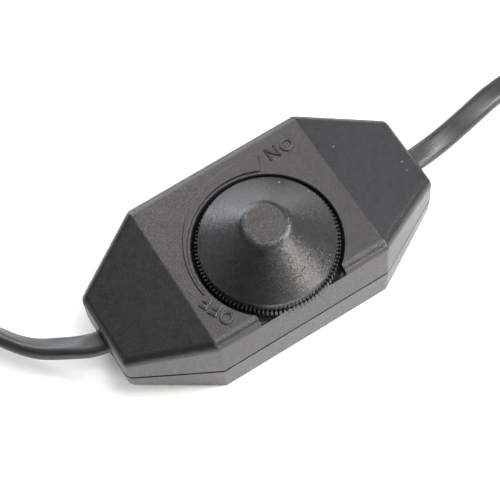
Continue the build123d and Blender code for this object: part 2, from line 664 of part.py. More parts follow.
def choke_winding():
    """The wire wound round most of the core, as one sleeve with its two ends."""
    inner, outer = CHOKE_INNER - WINDING_THICKNESS, CHOKE_OUTER + WINDING_THICKNESS
    bottom, top = BOARD_TOP, CHOKE_TOP + WINDING_THICKNESS
    sleeve = turned([(inner, bottom), (outer, bottom), (outer, top), (inner, top)], WINDING_TURN)
    sleeve -= ring(CHOKE_OUTER, CHOKE_INNER, CHOKE_BOTTOM, CHOKE_TOP)
    return with_leads(Pos(CHOKE_X, CHOKE_Y, 0) * sleeve, choke_places(), BOARD_TOP)


def reservoir_capacitor():
    can = upright(CAPACITOR_RADIUS, BOARD_TOP, BOARD_TOP + CAPACITOR_HEIGHT, CAPACITOR_X, CAPACITOR_Y)
    can = fillet(can.edges().filter_by(GeomType.CIRCLE), CAPACITOR_EDGE_RADIUS)
    return with_leads(can, capacitor_places(), BOARD_TOP)


def timer_chip():
    chip = block(CHIP_SIZE, CHIP_X, CHIP_Y, BOARD_TOP + CHIP_LIFT)
    middle = BOARD_TOP + CHIP_LIFT + CHIP_SIZE[2] / 2
    for x, y in chip_places():
        side = 1 if y > CHIP_Y else -1
        inner_y = CHIP_Y + side * CHIP_SIZE[1] / 2
        arm = (2 * LEAD_RADIUS, abs(y - inner_y) + LEAD_RADIUS, 2 * LEAD_RADIUS)
        chip += block(arm, x, inner_y + side * arm[1] / 2, middle - LEAD_RADIUS)
    return with_leads(chip, chip_places(), middle)


def timing_capacitor():
    body = block(TIMING_CAPACITOR_SIZE, TIMING_CAPACITOR_X, TIMING_CAPACITOR_Y, BOARD_TOP)
    return with_leads(body, timing_places(), BOARD_TOP)


def axial_part(radius, length, span):
    """A part that lies along X over its two bent leads, about its own middle."""
    height = BOARD_TOP + AXIAL_LIFT + radius
    part = Pos(0, 0, height) * Rot(0, 90, 0) * Cylinder(radius, length)
    part += Pos(0, 0, height) * Rot(0, 90, 0) * Cylinder(LEAD_RADIUS, span)
    for side in (-1, 1):
        part += upright(LEAD_RADIUS, BOARD_BOTTOM - LEAD_RADIUS, height + LEAD_RADIUS, side * span / 2)
    return part


def resistors():
    one = axial_part(RESISTOR_RADIUS, RESISTOR_LENGTH, RESISTOR_SPAN)
    return [Pos(x, RESISTOR_Y, 0) * Rot(0, 0, 90) * one for x in RESISTOR_X]


def diode():
    return Pos(DIODE_X, DIODE_Y, 0) * axial_part(DIODE_RADIUS, DIODE_LENGTH, DIODE_SPAN)


# Screws
def screw(shank, head, head_height, bite):
    """A cross-head screw that points down, with the underside of its head at the origin."""
    body = upright(shank, -bite, 0) + upright(head, 0, head_height)
    for turn in (0, 90):
        slot = block((2 * head * CROSS_SHARE, CROSS_WIDTH, CROSS_DEPTH), 0, 0, head_height - CROSS_DEPTH)
        body -= Rot(0, 0, turn) * slot
    return body


def housing_screws():
    length = SEAM_HEIGHT - SCREW_HEAD_TOP + SCREW_BITE
    one = Rot(180, 0, 0) * screw(SCREW_RADIUS, SCREW_HEAD_RADIUS, SCREW_HEAD_HEIGHT, length)
    return [Pos(x, y, SCREW_HEAD_TOP) * one for x, y in four(HOUSING_SCREW_X, HOUSING_SCREW_Y)]


def board_screws():
    one = screw(SMALL_SCREW_RADIUS, SMALL_HEAD_RADIUS, SMALL_HEAD_HEIGHT, BOARD_THICKNESS + BOARD_SCREW_BITE)
    return [Pos(x, y, BOARD_TOP) * one for x, y in four(BOARD_SCREW_X, BOARD_SCREW_Y)]


def clamp_screws():
    one = screw(SMALL_SCREW_RADIUS, SMALL_HEAD_RADIUS, SMALL_HEAD_HEIGHT, CLAMP_THICKNESS + SMALL_SCREW_BITE)
    return [Pos(x, y, CLAMP_TOP) * one for x, y in four(CLAMP_X, CLAMP_SCREW_Y)]


# Leads
def cord_clamp(side):
    length = 2 * CLAMP_SCREW_Y + CLAMP_WIDTH
    bar = extrude(Rot(0, 0, 90) * SlotOverall(length, CLAMP_WIDTH), CLAMP_THICKNESS)
    for y in (-CLAMP_SCREW_Y, CLAMP_SCREW_Y):
        bar -= upright(SMALL_SCREW_RADIUS + SCREW_HOLE_CLEARANCE, 0, CLAMP_THICKNESS, 0, y)
    return Pos(side * CLAMP_X, 0, CLAMP_BOTTOM) * bar


def inner_wire(side, lane):
    """One core of a lead, from the end of its sheath down to the board."""
    y = lane * WIRE_PITCH / 2
    start = (side * CORD_INNER_X, y, SEAM_HEIGHT)
    corner = (side * WIRE_PAD_X, y, SEAM_HEIGHT)
    path = FilletPolyline(start, corner, (side * WIRE_PAD_X, y, BOARD_TOP), radius=WIRE_BEND)
    return sweep(Plane(origin=start, z_dir=(-side, 0, 0)) * Circle(WIRE_RADIUS), path)


def lead(name, points):
    """A flat lead along its route, with each bend as wide as its two runs allow."""
    stops = [Vector(*point) for point in points]
    radii = []
    for before, here, after in zip(stops, stops[1:], stops[2:]):
        turn = (here - before).get_angle(after - here)
        run = min((here - before).length, (after - here).length)
        radii.append(CORD_BEND_SHARE * run / tan(radians(turn / 2)))
    path = FilletPolyline(*stops, radius=radii)
    section = SlotOverall(CORD_WIDTH, CORD_THICKNESS)
    solid = sweep(Plane(origin=stops[0], x_dir=(0, 1, 0), z_dir=stops[1] - stops[0]) * section, path)
    print(name, "length", round(path.length, 2), "radii", [round(r, 1) for r in radii])
    expected = section.area * path.length
    print(name, "volume", round(solid.volume, 2), "section times length", round(expected, 2))
    return solid


def connector_body(length):
    """A round moulded grip with its ringed strain relief, along Z from the relief's tip."""
    root = RELIEF_LENGTH
    end = root + length
    body = turned(
        [
            (0, 0),
            (RELIEF_TIP_RADIUS, 0),
            (RELIEF_ROOT_RADIUS, root),
            (GRIP_RADIUS - GRIP_CHAMFER, root),
            (GRIP_RADIUS, root + GRIP_CHAMFER),
            (GRIP_RADIUS, end - GRIP_CHAMFER),
            (GRIP_RADIUS - GRIP_CHAMFER, end),
            (0, end),
        ]
    )
    pitch = RELIEF_LENGTH / (RELIEF_RING_COUNT + 1)
    taper = (RELIEF_ROOT_RADIUS - RELIEF_TIP_RADIUS) / RELIEF_LENGTH
    for index in range(1, RELIEF_RING_COUNT + 1):
        middle = index * pitch
        floor = RELIEF_TIP_RADIUS + taper * middle - RELIEF_RING_DEPTH
        body -= ring(GRIP_RADIUS, floor, middle - RELIEF_RING_WIDTH / 2, middle + RELIEF_RING_WIDTH / 2)
    slot = (2 * GRIP_SLOT_DEPTH, GRIP_SLOT_WIDTH, length - 2 * GRIP_SLOT_MARGIN)
    for index in range(GRIP_SLOT_COUNT):
        cut = block(slot, GRIP_RADIUS, 0, root + GRIP_SLOT_MARGIN)
        body -= Rot(0, 0, index * 360 / GRIP_SLOT_COUNT) * cut
    return body


def at_end(points, side):
    """Turns a connector made along Z to lie along X from the end of a route."""
    return Pos(*points[-1]) * Rot(0, 90 * side, 0)


def input_socket_body():
    body = connector_body(SOCKET_LENGTH)
    body -= upright(SOCKET_BORE_RADIUS + SOCKET_CONTACT_WALL, SOCKET_FLOOR, SOCKET_END)
    return at_end(INPUT_ROUTE, -1) * body


def input_socket_contact():
    outer = SOCKET_BORE_RADIUS + SOCKET_CONTACT_WALL
    tube = ring(outer, SOCKET_BORE_RADIUS, SOCKET_FLOOR, SOCKET_END - SOCKET_CONTACT_INSET)
    return at_end(INPUT_ROUTE, -1) * tube


def input_socket_pin():
    pin = upright(SOCKET_PIN_RADIUS, SOCKET_FLOOR, SOCKET_END - SOCKET_PIN_INSET)
    tip = pin.edges().filter_by(GeomType.CIRCLE).sort_by(Axis.Z)[-1]
    return at_end(INPUT_ROUTE, -1) * fillet(tip, SOCKET_PIN_RADIUS / 2)


def output_plug_body():
    body = connector_body(PLUG_LENGTH)
    return at_end(OUTPUT_ROUTE, 1) * (body - upright(BARREL_RADIUS - BARREL_SHOULDER, PLUG_ROOT, PLUG_FACE))


def output_plug_barrel():
    inner = BARREL_RADIUS - BARREL_WALL
    tube = ring(BARREL_RADIUS - BARREL_SHOULDER, inner, PLUG_ROOT, PLUG_FACE)
    tube += ring(BARREL_RADIUS, inner, PLUG_FACE, PLUG_TIP)
    return at_end(OUTPUT_ROUTE, 1) * tube


def output_plug_core():
    tube = ring(BARREL_RADIUS - BARREL_WALL, BARREL_BORE_RADIUS, PLUG_ROOT, PLUG_TIP)
    return at_end(OUTPUT_ROUTE, 1) * tube


PIECES = {
    "upper_housing": upper_housing(),
    "lower_housing": lower_housing(),
    "control_knob": control_knob(),
    "pot_shaft": pot_shaft(),
    "pot_wiper": pot_wiper(),
    "pot_case": pot_case(),
    "pot_bush": pot_bush(),
    "pot_track": pot_track(),
    "pot_terminals": pot_terminals(),
    "switch_case": switch_case(),
    "switch_terminals": switch_terminals(),
    "circuit_board": circuit_board(),
    "power_transistor": power_transistor(),
    "heat_sink": heat_sink(),
    "heat_sink_screw": heat_sink_screw(),
    "heat_sink_nut": heat_sink_nut(),
    "choke_core": choke_core(),
    "choke_winding": choke_winding(),
    "reservoir_capacitor": reservoir_capacitor(),
    "timer_chip": timer_chip(),
    "timing_capacitor": timing_capacitor(),
    "resistors": resistors(),
    "diode": diode(),
    "housing_screws": housing_screws(),
    "board_screws": board_screws(),
    "clamp_screws": clamp_screws(),
    "input_cord_clamp": cord_clamp(-1),
    "output_cord_clamp": cord_clamp(1),
    "input_plus_wire": inner_wire(-1, 1),
    "input_minus_wire": inner_wire(-1, -1),
    "output_plus_wire": inner_wire(1, 1),
    "output_minus_wire": inner_wire(1, -1),
    "input_cord": lead("input_cord", INPUT_ROUTE),
    "input_socket_body": input_socket_body(),
    "input_socket_contact": input_socket_contact(),
    "input_socket_pin": input_socket_pin(),
    "output_cord": lead("output_cord", OUTPUT_ROUTE),
    "output_plug_body": output_plug_body(),
    "output_plug_barrel": output_plug_barrel(),
    "output_plug_core": output_plug_core(),
}

os.makedirs("parts", exist_ok=True)
for name, piece in PIECES.items():
    parts = piece if isinstance(piece, list) else [piece]
    solids = [solid for part in parts for solid in part.solids()]
    export_step(Compound(children=solids), f"parts/{name}.step")
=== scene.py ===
"""Inline cord dimmer: grained shells, a knurled knob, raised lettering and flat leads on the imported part."""

import math

import bmesh
import bpy
from mathutils import Matrix, Vector


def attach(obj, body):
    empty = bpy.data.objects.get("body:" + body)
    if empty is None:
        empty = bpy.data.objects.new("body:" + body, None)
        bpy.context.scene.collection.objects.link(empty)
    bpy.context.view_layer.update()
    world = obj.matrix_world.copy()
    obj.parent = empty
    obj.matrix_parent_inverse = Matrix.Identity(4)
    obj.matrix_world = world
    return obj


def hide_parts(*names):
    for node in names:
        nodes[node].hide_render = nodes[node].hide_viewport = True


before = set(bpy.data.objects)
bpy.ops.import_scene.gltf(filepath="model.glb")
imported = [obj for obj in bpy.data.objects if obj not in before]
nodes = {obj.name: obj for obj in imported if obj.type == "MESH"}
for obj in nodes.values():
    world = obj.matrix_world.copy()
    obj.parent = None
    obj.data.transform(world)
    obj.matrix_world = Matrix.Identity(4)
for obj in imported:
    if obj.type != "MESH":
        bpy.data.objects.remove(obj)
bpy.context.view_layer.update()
MM = 0.001

# Camera at the photograph's viewing angle, for a square picture, in metres and degrees
CAMERA_PLACE = (-0.07198, -0.15013, 0.39836)
CAMERA_LOOK = (0.16703604, 0.36054544, -0.91766331)
CAMERA_ROLL = -7.6048
CAMERA_LENS = 125.94

# Sizes of the upper shell, in millimetres, as the solids have them
SEAM_HEIGHT = 11.5
SEAM_BREAK = 0.2
PANEL_HEIGHT = 26.2
FOLD_X = 22.9
END_X = 43.0
END_TOP_DROP = 6.4
WALL_DRAFT = 0.15
TOP_EDGE_RADIUS = 2.4
RECESS_FLOOR = 24.3
PLAN_CORNERS = [(-END_X, -10.25), (-FOLD_X, -21.2), (FOLD_X, -21.2), (END_X, -10.25)]

# Finer form of the shells, in millimetres, as the photo shows it
FRONT_EDGE_RADIUS = 2.7
FRONT_LEAN = 0.75
SIDE_LEAN = 0.45
RECESS_DEEPENED = 0.8
RECESS_REACH = 22.0
NOTCH_LIP_BACK = -20.2
NOTCH_STEP = 0.05
NOTCH_LOWERED = 2.6
SEAM_GAP = 0.42
WEDGE_RAISED = 0.2
FOLD_SOFTNESS = 0.3
FOLD_SOFT_FROM = 20.0
SILL_SOFTNESS = 0.34
WEDGE_SOFTNESS = 0.26
UNDERSIDE_SOFTNESS = 0.4

# Share of its height that a shell's rim keeps where the seam is opened
RIM_KEPT = 0.15

# Shading of the straight front edge: share of the true turn at its top, and radians where it is whole
EARLY_TURN = 0.45
FRONT_TURN = 1.22

# Painted shade in the knob's recess, in millimetres: reach from the knob's axis, and start below the panel
RECESS_SHADE_RADIUS = 18.3
RECESS_SHADE_DROP = 0.45

# What tells faces apart: nearness in millimetres, angles in radians, and cosines
NEAR = 0.02
SMOOTH_ANGLE = 0.1
WALL_ANGLE = 0.12
ROUND_ANGLE = 0.8
TOP_FACING = 0.999
WALL_FACING = 0.99

# Sizes of the knob, in millimetres, as the solids have them
KNOB_CENTRE_Y = -4.8
KNOB_BOTTOM = 24.6
KNOB_TOP = 37.75
CONE_BOTTOM = 28.3
CONE_RADIUS = 16.2
PLATEAU_RADIUS = 5.5
BAND_RADIUS = 16.32
TOOTH_TOP = 26.35
SLOT_ROOT_RADIUS = 16.05
SKIRT_INNER_RADIUS = 14.35
SKIRT_CEILING = 27.66
HUB_RADIUS = 5.2
HUB_CEILING = 35.74
BORE_RADIUS = 3.03
BORE_FLAT = 1.53
BORE_TOP = 35.18
RIB_HALF_WIDTH = 0.5
RIB_START = 1.5
TOOTH_COUNT = 106

# Edges of the knob's flat top and of its band, in millimetres, as the photo shows them
PLATEAU_EDGE_RADIUS = 3.0
CREASE_RADIUS = 0.35

# One tooth of the rim, downward: height, reach, half width at its root and face, and dome, in millimetres
TOOTH_ROWS = [
    (26.2, 16.24, 0.4, 0.34, 0.0),
    (26.1, 16.42, 0.36, 0.28, 0.02),
    (26.17, 16.64, 0.31, 0.235, 0.07),
    (26.3, 16.84, 0.29, 0.225, 0.13),
    (26.31, 16.97, 0.285, 0.225, 0.14),
    (26.18, 17.08, 0.285, 0.23, 0.08),
    (25.95, 17.12, 0.29, 0.25, 0.02),
    (25.3, 17.18, 0.32, 0.29, 0.0),
    (24.9, 17.27, 0.34, 0.31, 0.0),
    (24.68, 17.34, 0.34, 0.31, 0.0),
    (24.6, 17.3, 0.34, 0.3, 0.0),
]

# Letters on the panel: lower left corner, turn of the line and height, in millimetres and degrees
LETTERS = [
    ("O", -15.79, -15.97, 115.5, 2.85),
    ("F", -17.16, -12.3, 115.5, 2.75),
    ("F", -18.06, -9.75, 113.5, 2.75),
    ("O", 18.85, 15.95, 180.0, 3.0),
    ("N", 14.66, 16.0, 180.0, 3.0),
]
STRAIGHT_STROKES = {
    "N": [[(0, -0.04), (0, 1.04)], [(0.8, -0.04), (0.8, 1.04)], [(0, 1), (0.8, 0)]],
    "F": [[(0, -0.04), (0, 1.07)], [(0, 1), (0.66, 1)], [(0, 0.5), (0.56, 0.5)]],
}
ROUND_STROKE_RADIUS = 0.46
ROUND_STROKE_STEPS = 32

# Half section of a raised stroke, in millimetres: across it, and up from the panel
STROKE_SECTION = [(-0.34, -0.04), (-0.33, 0.1), (-0.29, 0.27), (-0.21, 0.34)]

# Marks that the photo shows, in millimetres: start, end and half width
SHELL_FLECKS = [
    ((26.7, 8.5, 24.96), (26.9, 8.4, 24.95), 0.16),
    ((39.3, -2.1, 20.96), (39.4, -2.3, 20.95), 0.16),
    ((39.0, -4.7, 21.05), (39.1, -4.8, 21.05), 0.14),
]
KNOB_FLECKS = [
    ((9.87, 5.44, 30.04), (9.91, 5.44, 30.04), 0.36),
    ((14.48, 0.15, 29.07), (14.52, 0.15, 29.07), 0.3),
]
KNOB_NICKS = [
    ((3.0, -16.5, 31.95), (1.95, -16.95, 31.75), 0.2),
    ((-0.9, -17.35, 31.5), (0.35, -17.55, 31.35), 0.14),
    ((0.2, -17.5, 31.36), (1.15, -17.6, 31.2), 0.26),
]
NICK_DEPTH = 0.14

# Leads, in millimetres, nearer to the photo than the solids: width, thickness, corner radius and routes
CORD_WIDTH = 5.9
CORD_THICKNESS = 3.5
CORD_CORNER = 1.45
INPUT_ROUTE = [
    (-33.2, 0.0, 11.5),
    (-43.2, 0.0, 11.5),
    (-51.9, 5.1, 9.6),
    (-59.2, 11.3, 6.2),
    (-66.3, 23.0, 5.25),
    (-79.0, 27.4, 5.25),
    (-89.0, 27.4, 5.25),
]
OUTPUT_ROUTE = [
    (33.2, 0.0, 11.5),
    (43.0, 0.0, 11.5),
    (53.0, 1.2, 10.8),
    (63.5, 4.4, 7.2),
    (75.5, 7.6, 5.25),
    (85.0, 7.6, 5.25),
]

# Twists of the leads: share of the length, and degrees
INPUT_TWISTS = [(0.0, 0.0), (0.13, 4.0), (0.3, 26.0), (0.55, 56.0), (0.68, 50.0), (0.9, 0.0), (1.0, 0.0)]
OUTPUT_TWISTS = [(0.0, 0.0), (0.2, 2.0), (0.4, 17.0), (0.6, 17.0), (0.85, 0.0), (1.0, 0.0)]

# Finishes: cells of each pattern to a millimetre, and heights of their relief in millimetres
GRAINS_PER_MM = 3.6
FACETS_PER_MM = 4.4
MOTTLES_PER_MM = 0.55
STREAKS_PER_MM = (2.2, 0.06, 1.0)
PORES_PER_MM = 1.4
WAVES_PER_MM = 0.25
TARNISH_PER_MM = 0.9
LEAD_RELIEF = 0.06
MOULD_RELIEF = 0.01

# Lamps: name, direction and height in degrees, radiance and tint, set against the photo's tones
WARM = (1.0, 0.92, 0.83)
SOFT_WARM = (1.0, 0.98, 0.97)
CREAM = (1.0, 1.0, 0.89)
COOL_WHITE = (0.94, 1.0, 1.0)
PALE_SKY = (0.86, 0.9, 1.0)
SKY = (0.72, 0.84, 1.0)
LAMPS = [
    ("key_right", -20, 50, 36, SOFT_WARM),
    ("key_low", -62, 22, 27, WARM),
    ("key_between", -40, 36, 12.5, COOL_WHITE),
    ("back_high", 80, 50, 16.5, WARM),
    ("back_low", 100, 8, 14, PALE_SKY),
    ("back_window", 80, 22, 15.5, SKY),
    ("top_back", 45, 76, 5, SOFT_WARM),
    ("top_front", -32, 79, 13, CREAM),
    ("right_low", 40, 8, 4, COOL_WHITE),
    ("right_back", 20, 36, 3, PALE_SKY),
    ("left_front", -100, 36, 2.5, COOL_WHITE),
    ("front_middle", -88, 24, 2.5, SOFT_WARM),
    ("front_low", -82, 5, 5.5, SOFT_WARM),
]
FILL_RADIANCE = 1.2
FILL_PLACES = [(-80, 64), (-120, 50), (-180, 64), (-180, 8), (160, 8), (140, 8), (138, 58)]
LAMP_SIDE = 0.28
LAMP_DISTANCE = 1.0
LAMP_AIM = (0.0, 0.0, 0.02)
FLOOR_HALF_SIDE = 0.6
FLOOR_GLOW = 0.05
SURROUND_SEEN = (1.0, 1.0, 1.0)
SURROUND_FELT = (0.01, 0.01, 0.01)


# Shader groups
def shader_group(name, inputs, outputs):
    """A new shader node group, from its inputs' first values and its outputs' kinds."""
    group = bpy.data.node_groups.new(name, "ShaderNodeTree")
    for label, value in inputs.items():
        kind = "NodeSocketVector" if isinstance(value, tuple) else "NodeSocketFloat"
        group.interface.new_socket(label, in_out="INPUT", socket_type=kind).default_value = value
    for label, kind in outputs.items():
        group.interface.new_socket(label, in_out="OUTPUT", socket_type="NodeSocket" + kind)
    return group, group.nodes.new("NodeGroupInput"), group.nodes.new("NodeGroupOutput")


def set_inputs(tree, node, **inputs):
    """Sets or links a node's inputs by name; an underscore stands for a space."""
    for key, value in inputs.items():
        feed(tree, node.inputs[key.replace("_", " ")], value)


def feed(tree, socket, value):
    """Links an input to another node's socket, or sets it to a number."""
    if isinstance(value, bpy.types.NodeSocket):
        tree.links.new(value, socket)
    else:
        socket.default_value = value


def add_node(tree, kind, settings=None, **inputs):
    """A new node with its settings and its inputs."""
    node = tree.nodes.new(kind)
    for key, value in (settings or {}).items():
        setattr(node, key, value)
    set_inputs(tree, node, **inputs)
    return node


def maths(tree, operation, first, second=0.0):
    """One step of arithmetic on sockets or numbers."""
    node = add_node(tree, "ShaderNodeMath", {"operation": operation})
    feed(tree, node.inputs[0], first)
    feed(tree, node.inputs[1], second)
    return node.outputs[0]


def vector_maths(tree, operation, first, second):
    """One step of vector arithmetic on sockets or vectors."""
    node = add_node(tree, "ShaderNodeVectorMath", {"operation": operation})
    feed(tree, node.inputs[0], first)
    feed(tree, node.inputs[1], second)
    return node.outputs["Value" if operation in ("DOT_PRODUCT", "DISTANCE") else "Vector"]


def scaled(tree, vector, factor):
    """A vector times a number."""
    node = add_node(tree, "ShaderNodeVectorMath", {"operation": "SCALE"}, Vector=vector, Scale=factor)
    return node.outputs["Vector"]


def object_places(tree):
    """The places of a surface's points on the object, in metres."""
    return add_node(tree, "ShaderNodeTexCoord").outputs["Object"]


def noise(tree, per_millimetre, detail, roughness, finer=1.0):
    """Cloudy noise from 0 to 1 on the object's places, with a number of cells to a millimetre."""
    places = scaled(tree, object_places(tree), maths(tree, "DIVIDE", per_millimetre, MM))
    return add_node(
        tree, "ShaderNodeTexNoise", Vector=places, Scale=finer, Detail=detail, Roughness=roughness
    ).outputs["Fac"]


def make_spark_grain():
    """Eroded grain of a moulded shell: fine height, facets that sparkle, and a slow mottle."""
    inputs = {"Grains per mm": 3.0, "Facets per mm": 3.0, "Facet tilt": 0.3}
    outputs = {"Height": "Float", "Normal": "Vector", "Mottle": "Float"}
    group, start, end = shader_group("spark_grain", inputs, outputs)
    height = noise(group, start.outputs["Grains per mm"], 2.0, 0.6)
    mottle = noise(group, MOTTLES_PER_MM, 4.0, 0.65)
    per_metre = maths(group, "DIVIDE", start.outputs["Facets per mm"], MM)
    cells = scaled(group, object_places(group), per_metre)
    facets = add_node(group, "ShaderNodeTexVoronoi", Vector=cells, Scale=1.0)
    level = vector_maths(group, "SUBTRACT", facets.outputs["Color"], (0.5, 0.5, 0.5))
    tilt = scaled(group, level, start.outputs["Facet tilt"])
    surface = add_node(group, "ShaderNodeNewGeometry").outputs["Normal"]
    leaning = vector_maths(group, "ADD", surface, tilt)
    facing = add_node(group, "ShaderNodeVectorMath", {"operation": "NORMALIZE"}, Vector=leaning)
    set_inputs(group, end, Height=height, Normal=facing.outputs["Vector"], Mottle=mottle)
    return group


def make_mark():
    """A mask for one short mark on a surface, by its middle and half of its run in metres."""
    inputs = {"Middle": (0.0, 0.0, 0.0), "Half run": (0.0, 0.0, 0.0001), "Half width": 0.0001}
    group, start, end = shader_group("surface_mark", inputs, {"Mask": "Float"})
    away = vector_maths(group, "SUBTRACT", object_places(group), start.outputs["Middle"])
    half_run = start.outputs["Half run"]
    along = vector_maths(group, "DOT_PRODUCT", away, half_run)
    whole = vector_maths(group, "DOT_PRODUCT", half_run, half_run)
    share = maths(group, "DIVIDE", along, whole)
    share = maths(group, "MAXIMUM", maths(group, "MINIMUM", share, 1.0), -1.0)
    gap = vector_maths(group, "DISTANCE", away, scaled(group, half_run, share))
    fade = maths(group, "DIVIDE", gap, start.outputs["Half width"])
    set_inputs(group, end, Mask=maths(group, "MAXIMUM", maths(group, "SUBTRACT", 1.0, fade), 0.0))
    return group


SPARK_GRAIN = make_spark_grain()
SURFACE_MARK = make_mark()


# Finishes
def new_finish(name):
    """An empty material with its shader, and the tree that they live in."""
    material = bpy.data.materials.new(name)
    material.use_nodes = True
    tree = material.node_tree
    shader = tree.nodes["Principled BSDF"]
    return material, tree, shader


def ramp(tree, factor, low, high):
    """A colour that runs from low to high as the factor runs from 0.3 to 0.7."""
    node = add_node(tree, "ShaderNodeValToRGB", Fac=factor)
    first, last = node.color_ramp.elements
    first.position = 0.3
    first.color = (*low, 1.0)
    last.position = 0.7
    last.color = (*high, 1.0)
    return node.outputs["Color"]


def spread(tree, factor, middle, swing):
    """A number that swings about its middle as the factor runs from 0.25 to 0.75."""
    node = add_node(tree, "ShaderNodeMapRange", Value=factor, From_Min=0.25, From_Max=0.75)
    set_inputs(tree, node, To_Min=middle - swing, To_Max=middle + swing)
    return node.outputs["Result"]


def joined_marks(tree, marks):
    """One mask for a list of marks, each with a start, an end and half of its width, in millimetres."""
    joined = 0.0
    for first, last, half_width in marks:
        middle = [(a + b) / 2 * MM for a, b in zip(first, last)]
        half_run = [(b - a) / 2 * MM for a, b in zip(first, last)]
        mark = add_node(tree, "ShaderNodeGroup", {"node_tree": SURFACE_MARK}, Half_width=half_width * MM)
        set_inputs(tree, mark, Middle=middle, Half_run=half_run)
        joined = maths(tree, "MAXIMUM", mark.outputs["Mask"], joined)
    return joined


def mixed_colour(tree, factor, first, second):
    """A colour between a socket's colour and a given one."""
    node = add_node(tree, "ShaderNodeMix", {"data_type": "RGBA"}, Factor=factor)
    tree.links.new(first, node.inputs["A"])
    node.inputs["B"].default_value = (*second, 1.0)
    return [socket for socket in node.outputs if socket.type == "RGBA"][0]


def hollow_shade(tree):
    """A mask of painted shade for the parts of the shells that lie in the seam's gap and low in the knob's
    recess.
    """
    parts = add_node(tree, "ShaderNodeSeparateXYZ", Vector=object_places(tree))
    across, behind, height = [maths(tree, "MULTIPLY", parts.outputs[axis], 1.0 / MM) for axis in "XYZ"]
    off_seam = maths(tree, "ABSOLUTE", maths(tree, "SUBTRACT", height, SEAM_HEIGHT))
    in_seam = maths(tree, "LESS_THAN", off_seam, SEAM_GAP - NEAR)
    depth = maths(tree, "SUBTRACT", behind, KNOB_CENTRE_Y)
    squares = [maths(tree, "MULTIPLY", side, side) for side in (across, depth)]
    in_recess = maths(tree, "LESS_THAN", maths(tree, "ADD", *squares), RECESS_SHADE_RADIUS**2)
    for operation, distance, limit in (
        ("LESS_THAN", height, PANEL_HEIGHT - RECESS_SHADE_DROP),
        ("GREATER_THAN", height, RECESS_FLOOR - NOTCH_LOWERED + NEAR),
        ("GREATER_THAN", behind, NOTCH_LIP_BACK - NEAR),
    ):
        in_recess = maths(tree, "MULTIPLY", in_recess, maths(tree, operation, distance, limit))
    return maths(tree, "MAXIMUM", in_seam, in_recess)


def grained_plastic(name, dark, light, roughness, depth, tilt, flecks=(), nicks=(), shaded=False):
    """Moulded black plastic with eroded grain, uneven gloss, the flecks and nicks that it has, and painted
    shade in hollows where shaded.
    """
    material, tree, shader = new_finish(name)
    grain = add_node(tree, "ShaderNodeGroup", {"node_tree": SPARK_GRAIN}, Facet_tilt=tilt)
    set_inputs(tree, grain, Grains_per_mm=GRAINS_PER_MM, Facets_per_mm=FACETS_PER_MM)
    tone = ramp(tree, grain.outputs["Mottle"], dark, light)
    gloss = spread(tree, grain.outputs["Mottle"], roughness, 0.04)
    height = grain.outputs["Height"]
    if flecks:
        tone = mixed_colour(tree, joined_marks(tree, flecks), tone, DUST)
    if nicks:
        scored = joined_marks(tree, nicks)
        height = maths(tree, "SUBTRACT", height, maths(tree, "MULTIPLY", scored, NICK_DEPTH / depth))
    # Painted shade: near-black colour and full roughness in the seam's gap and low in the recess
    if shaded:
        shade = hollow_shade(tree)
        tone = mixed_colour(tree, shade, tone, UNLIT)
        gloss = maths(tree, "MAXIMUM", gloss, shade)
    bump = add_node(tree, "ShaderNodeBump", Height=height, Strength=1.0, Distance=depth * MM)
    set_inputs(tree, bump, Normal=grain.outputs["Normal"])
    set_inputs(tree, shader, Base_Color=tone, Roughness=gloss, Normal=bump.outputs["Normal"])
    return material


def lead_plastic(name, dark, light, roughness):
    """Extruded soft plastic with faint streaks along the lead, by the lead's own UV in millimetres."""
    material, tree, shader = new_finish(name)
    place = add_node(tree, "ShaderNodeTexCoord").outputs["UV"]
    drawn = add_node(tree, "ShaderNodeMapping", Vector=place, Scale=STREAKS_PER_MM).outputs["Vector"]
    streaks = add_node(tree, "ShaderNodeTexNoise", Vector=drawn, Scale=1.0, Detail=3.0).outputs["Fac"]
    pores = noise(tree, PORES_PER_MM, 4.0, 0.65)
    relief = maths(tree, "ADD", streaks, maths(tree, "MULTIPLY", pores, 0.5))
    bump = add_node(tree, "ShaderNodeBump", Height=relief, Strength=1.0, Distance=LEAD_RELIEF * MM)
    tone = ramp(tree, streaks, dark, light)
    gloss = spread(tree, pores, roughness, 0.07)
    set_inputs(tree, shader, Base_Color=tone, Roughness=gloss, Normal=bump.outputs["Normal"])
    return material


def smooth_plastic(name, dark, light, roughness):
    """Moulded plastic with a slow unevenness and faint drawn marks."""
    material, tree, shader = new_finish(name)
    waves = noise(tree, WAVES_PER_MM, 5.0, 0.6)
    marks = noise(tree, WAVES_PER_MM, 2.0, 0.5, finer=14.0)
    bump = add_node(tree, "ShaderNodeBump", Height=marks, Strength=0.5, Distance=MOULD_RELIEF * MM)
    tone = ramp(tree, waves, dark, light)
    gloss = spread(tree, waves, roughness, 0.06)
    set_inputs(tree, shader, Base_Color=tone, Roughness=gloss, Normal=bump.outputs["Normal"])
    return material


def bare_metal(name, dark, light, roughness):
    """Plated or turned metal with fine uneven gloss."""
    material, tree, shader = new_finish(name)
    tarnish = noise(tree, TARNISH_PER_MM, 6.0, 0.7)
    tone = ramp(tree, tarnish, dark, light)
    gloss = spread(tree, tarnish, roughness, 0.07)
    set_inputs(tree, shader, Base_Color=tone, Roughness=gloss)
    shader.inputs["Metallic"].default_value = 1.0
    return material


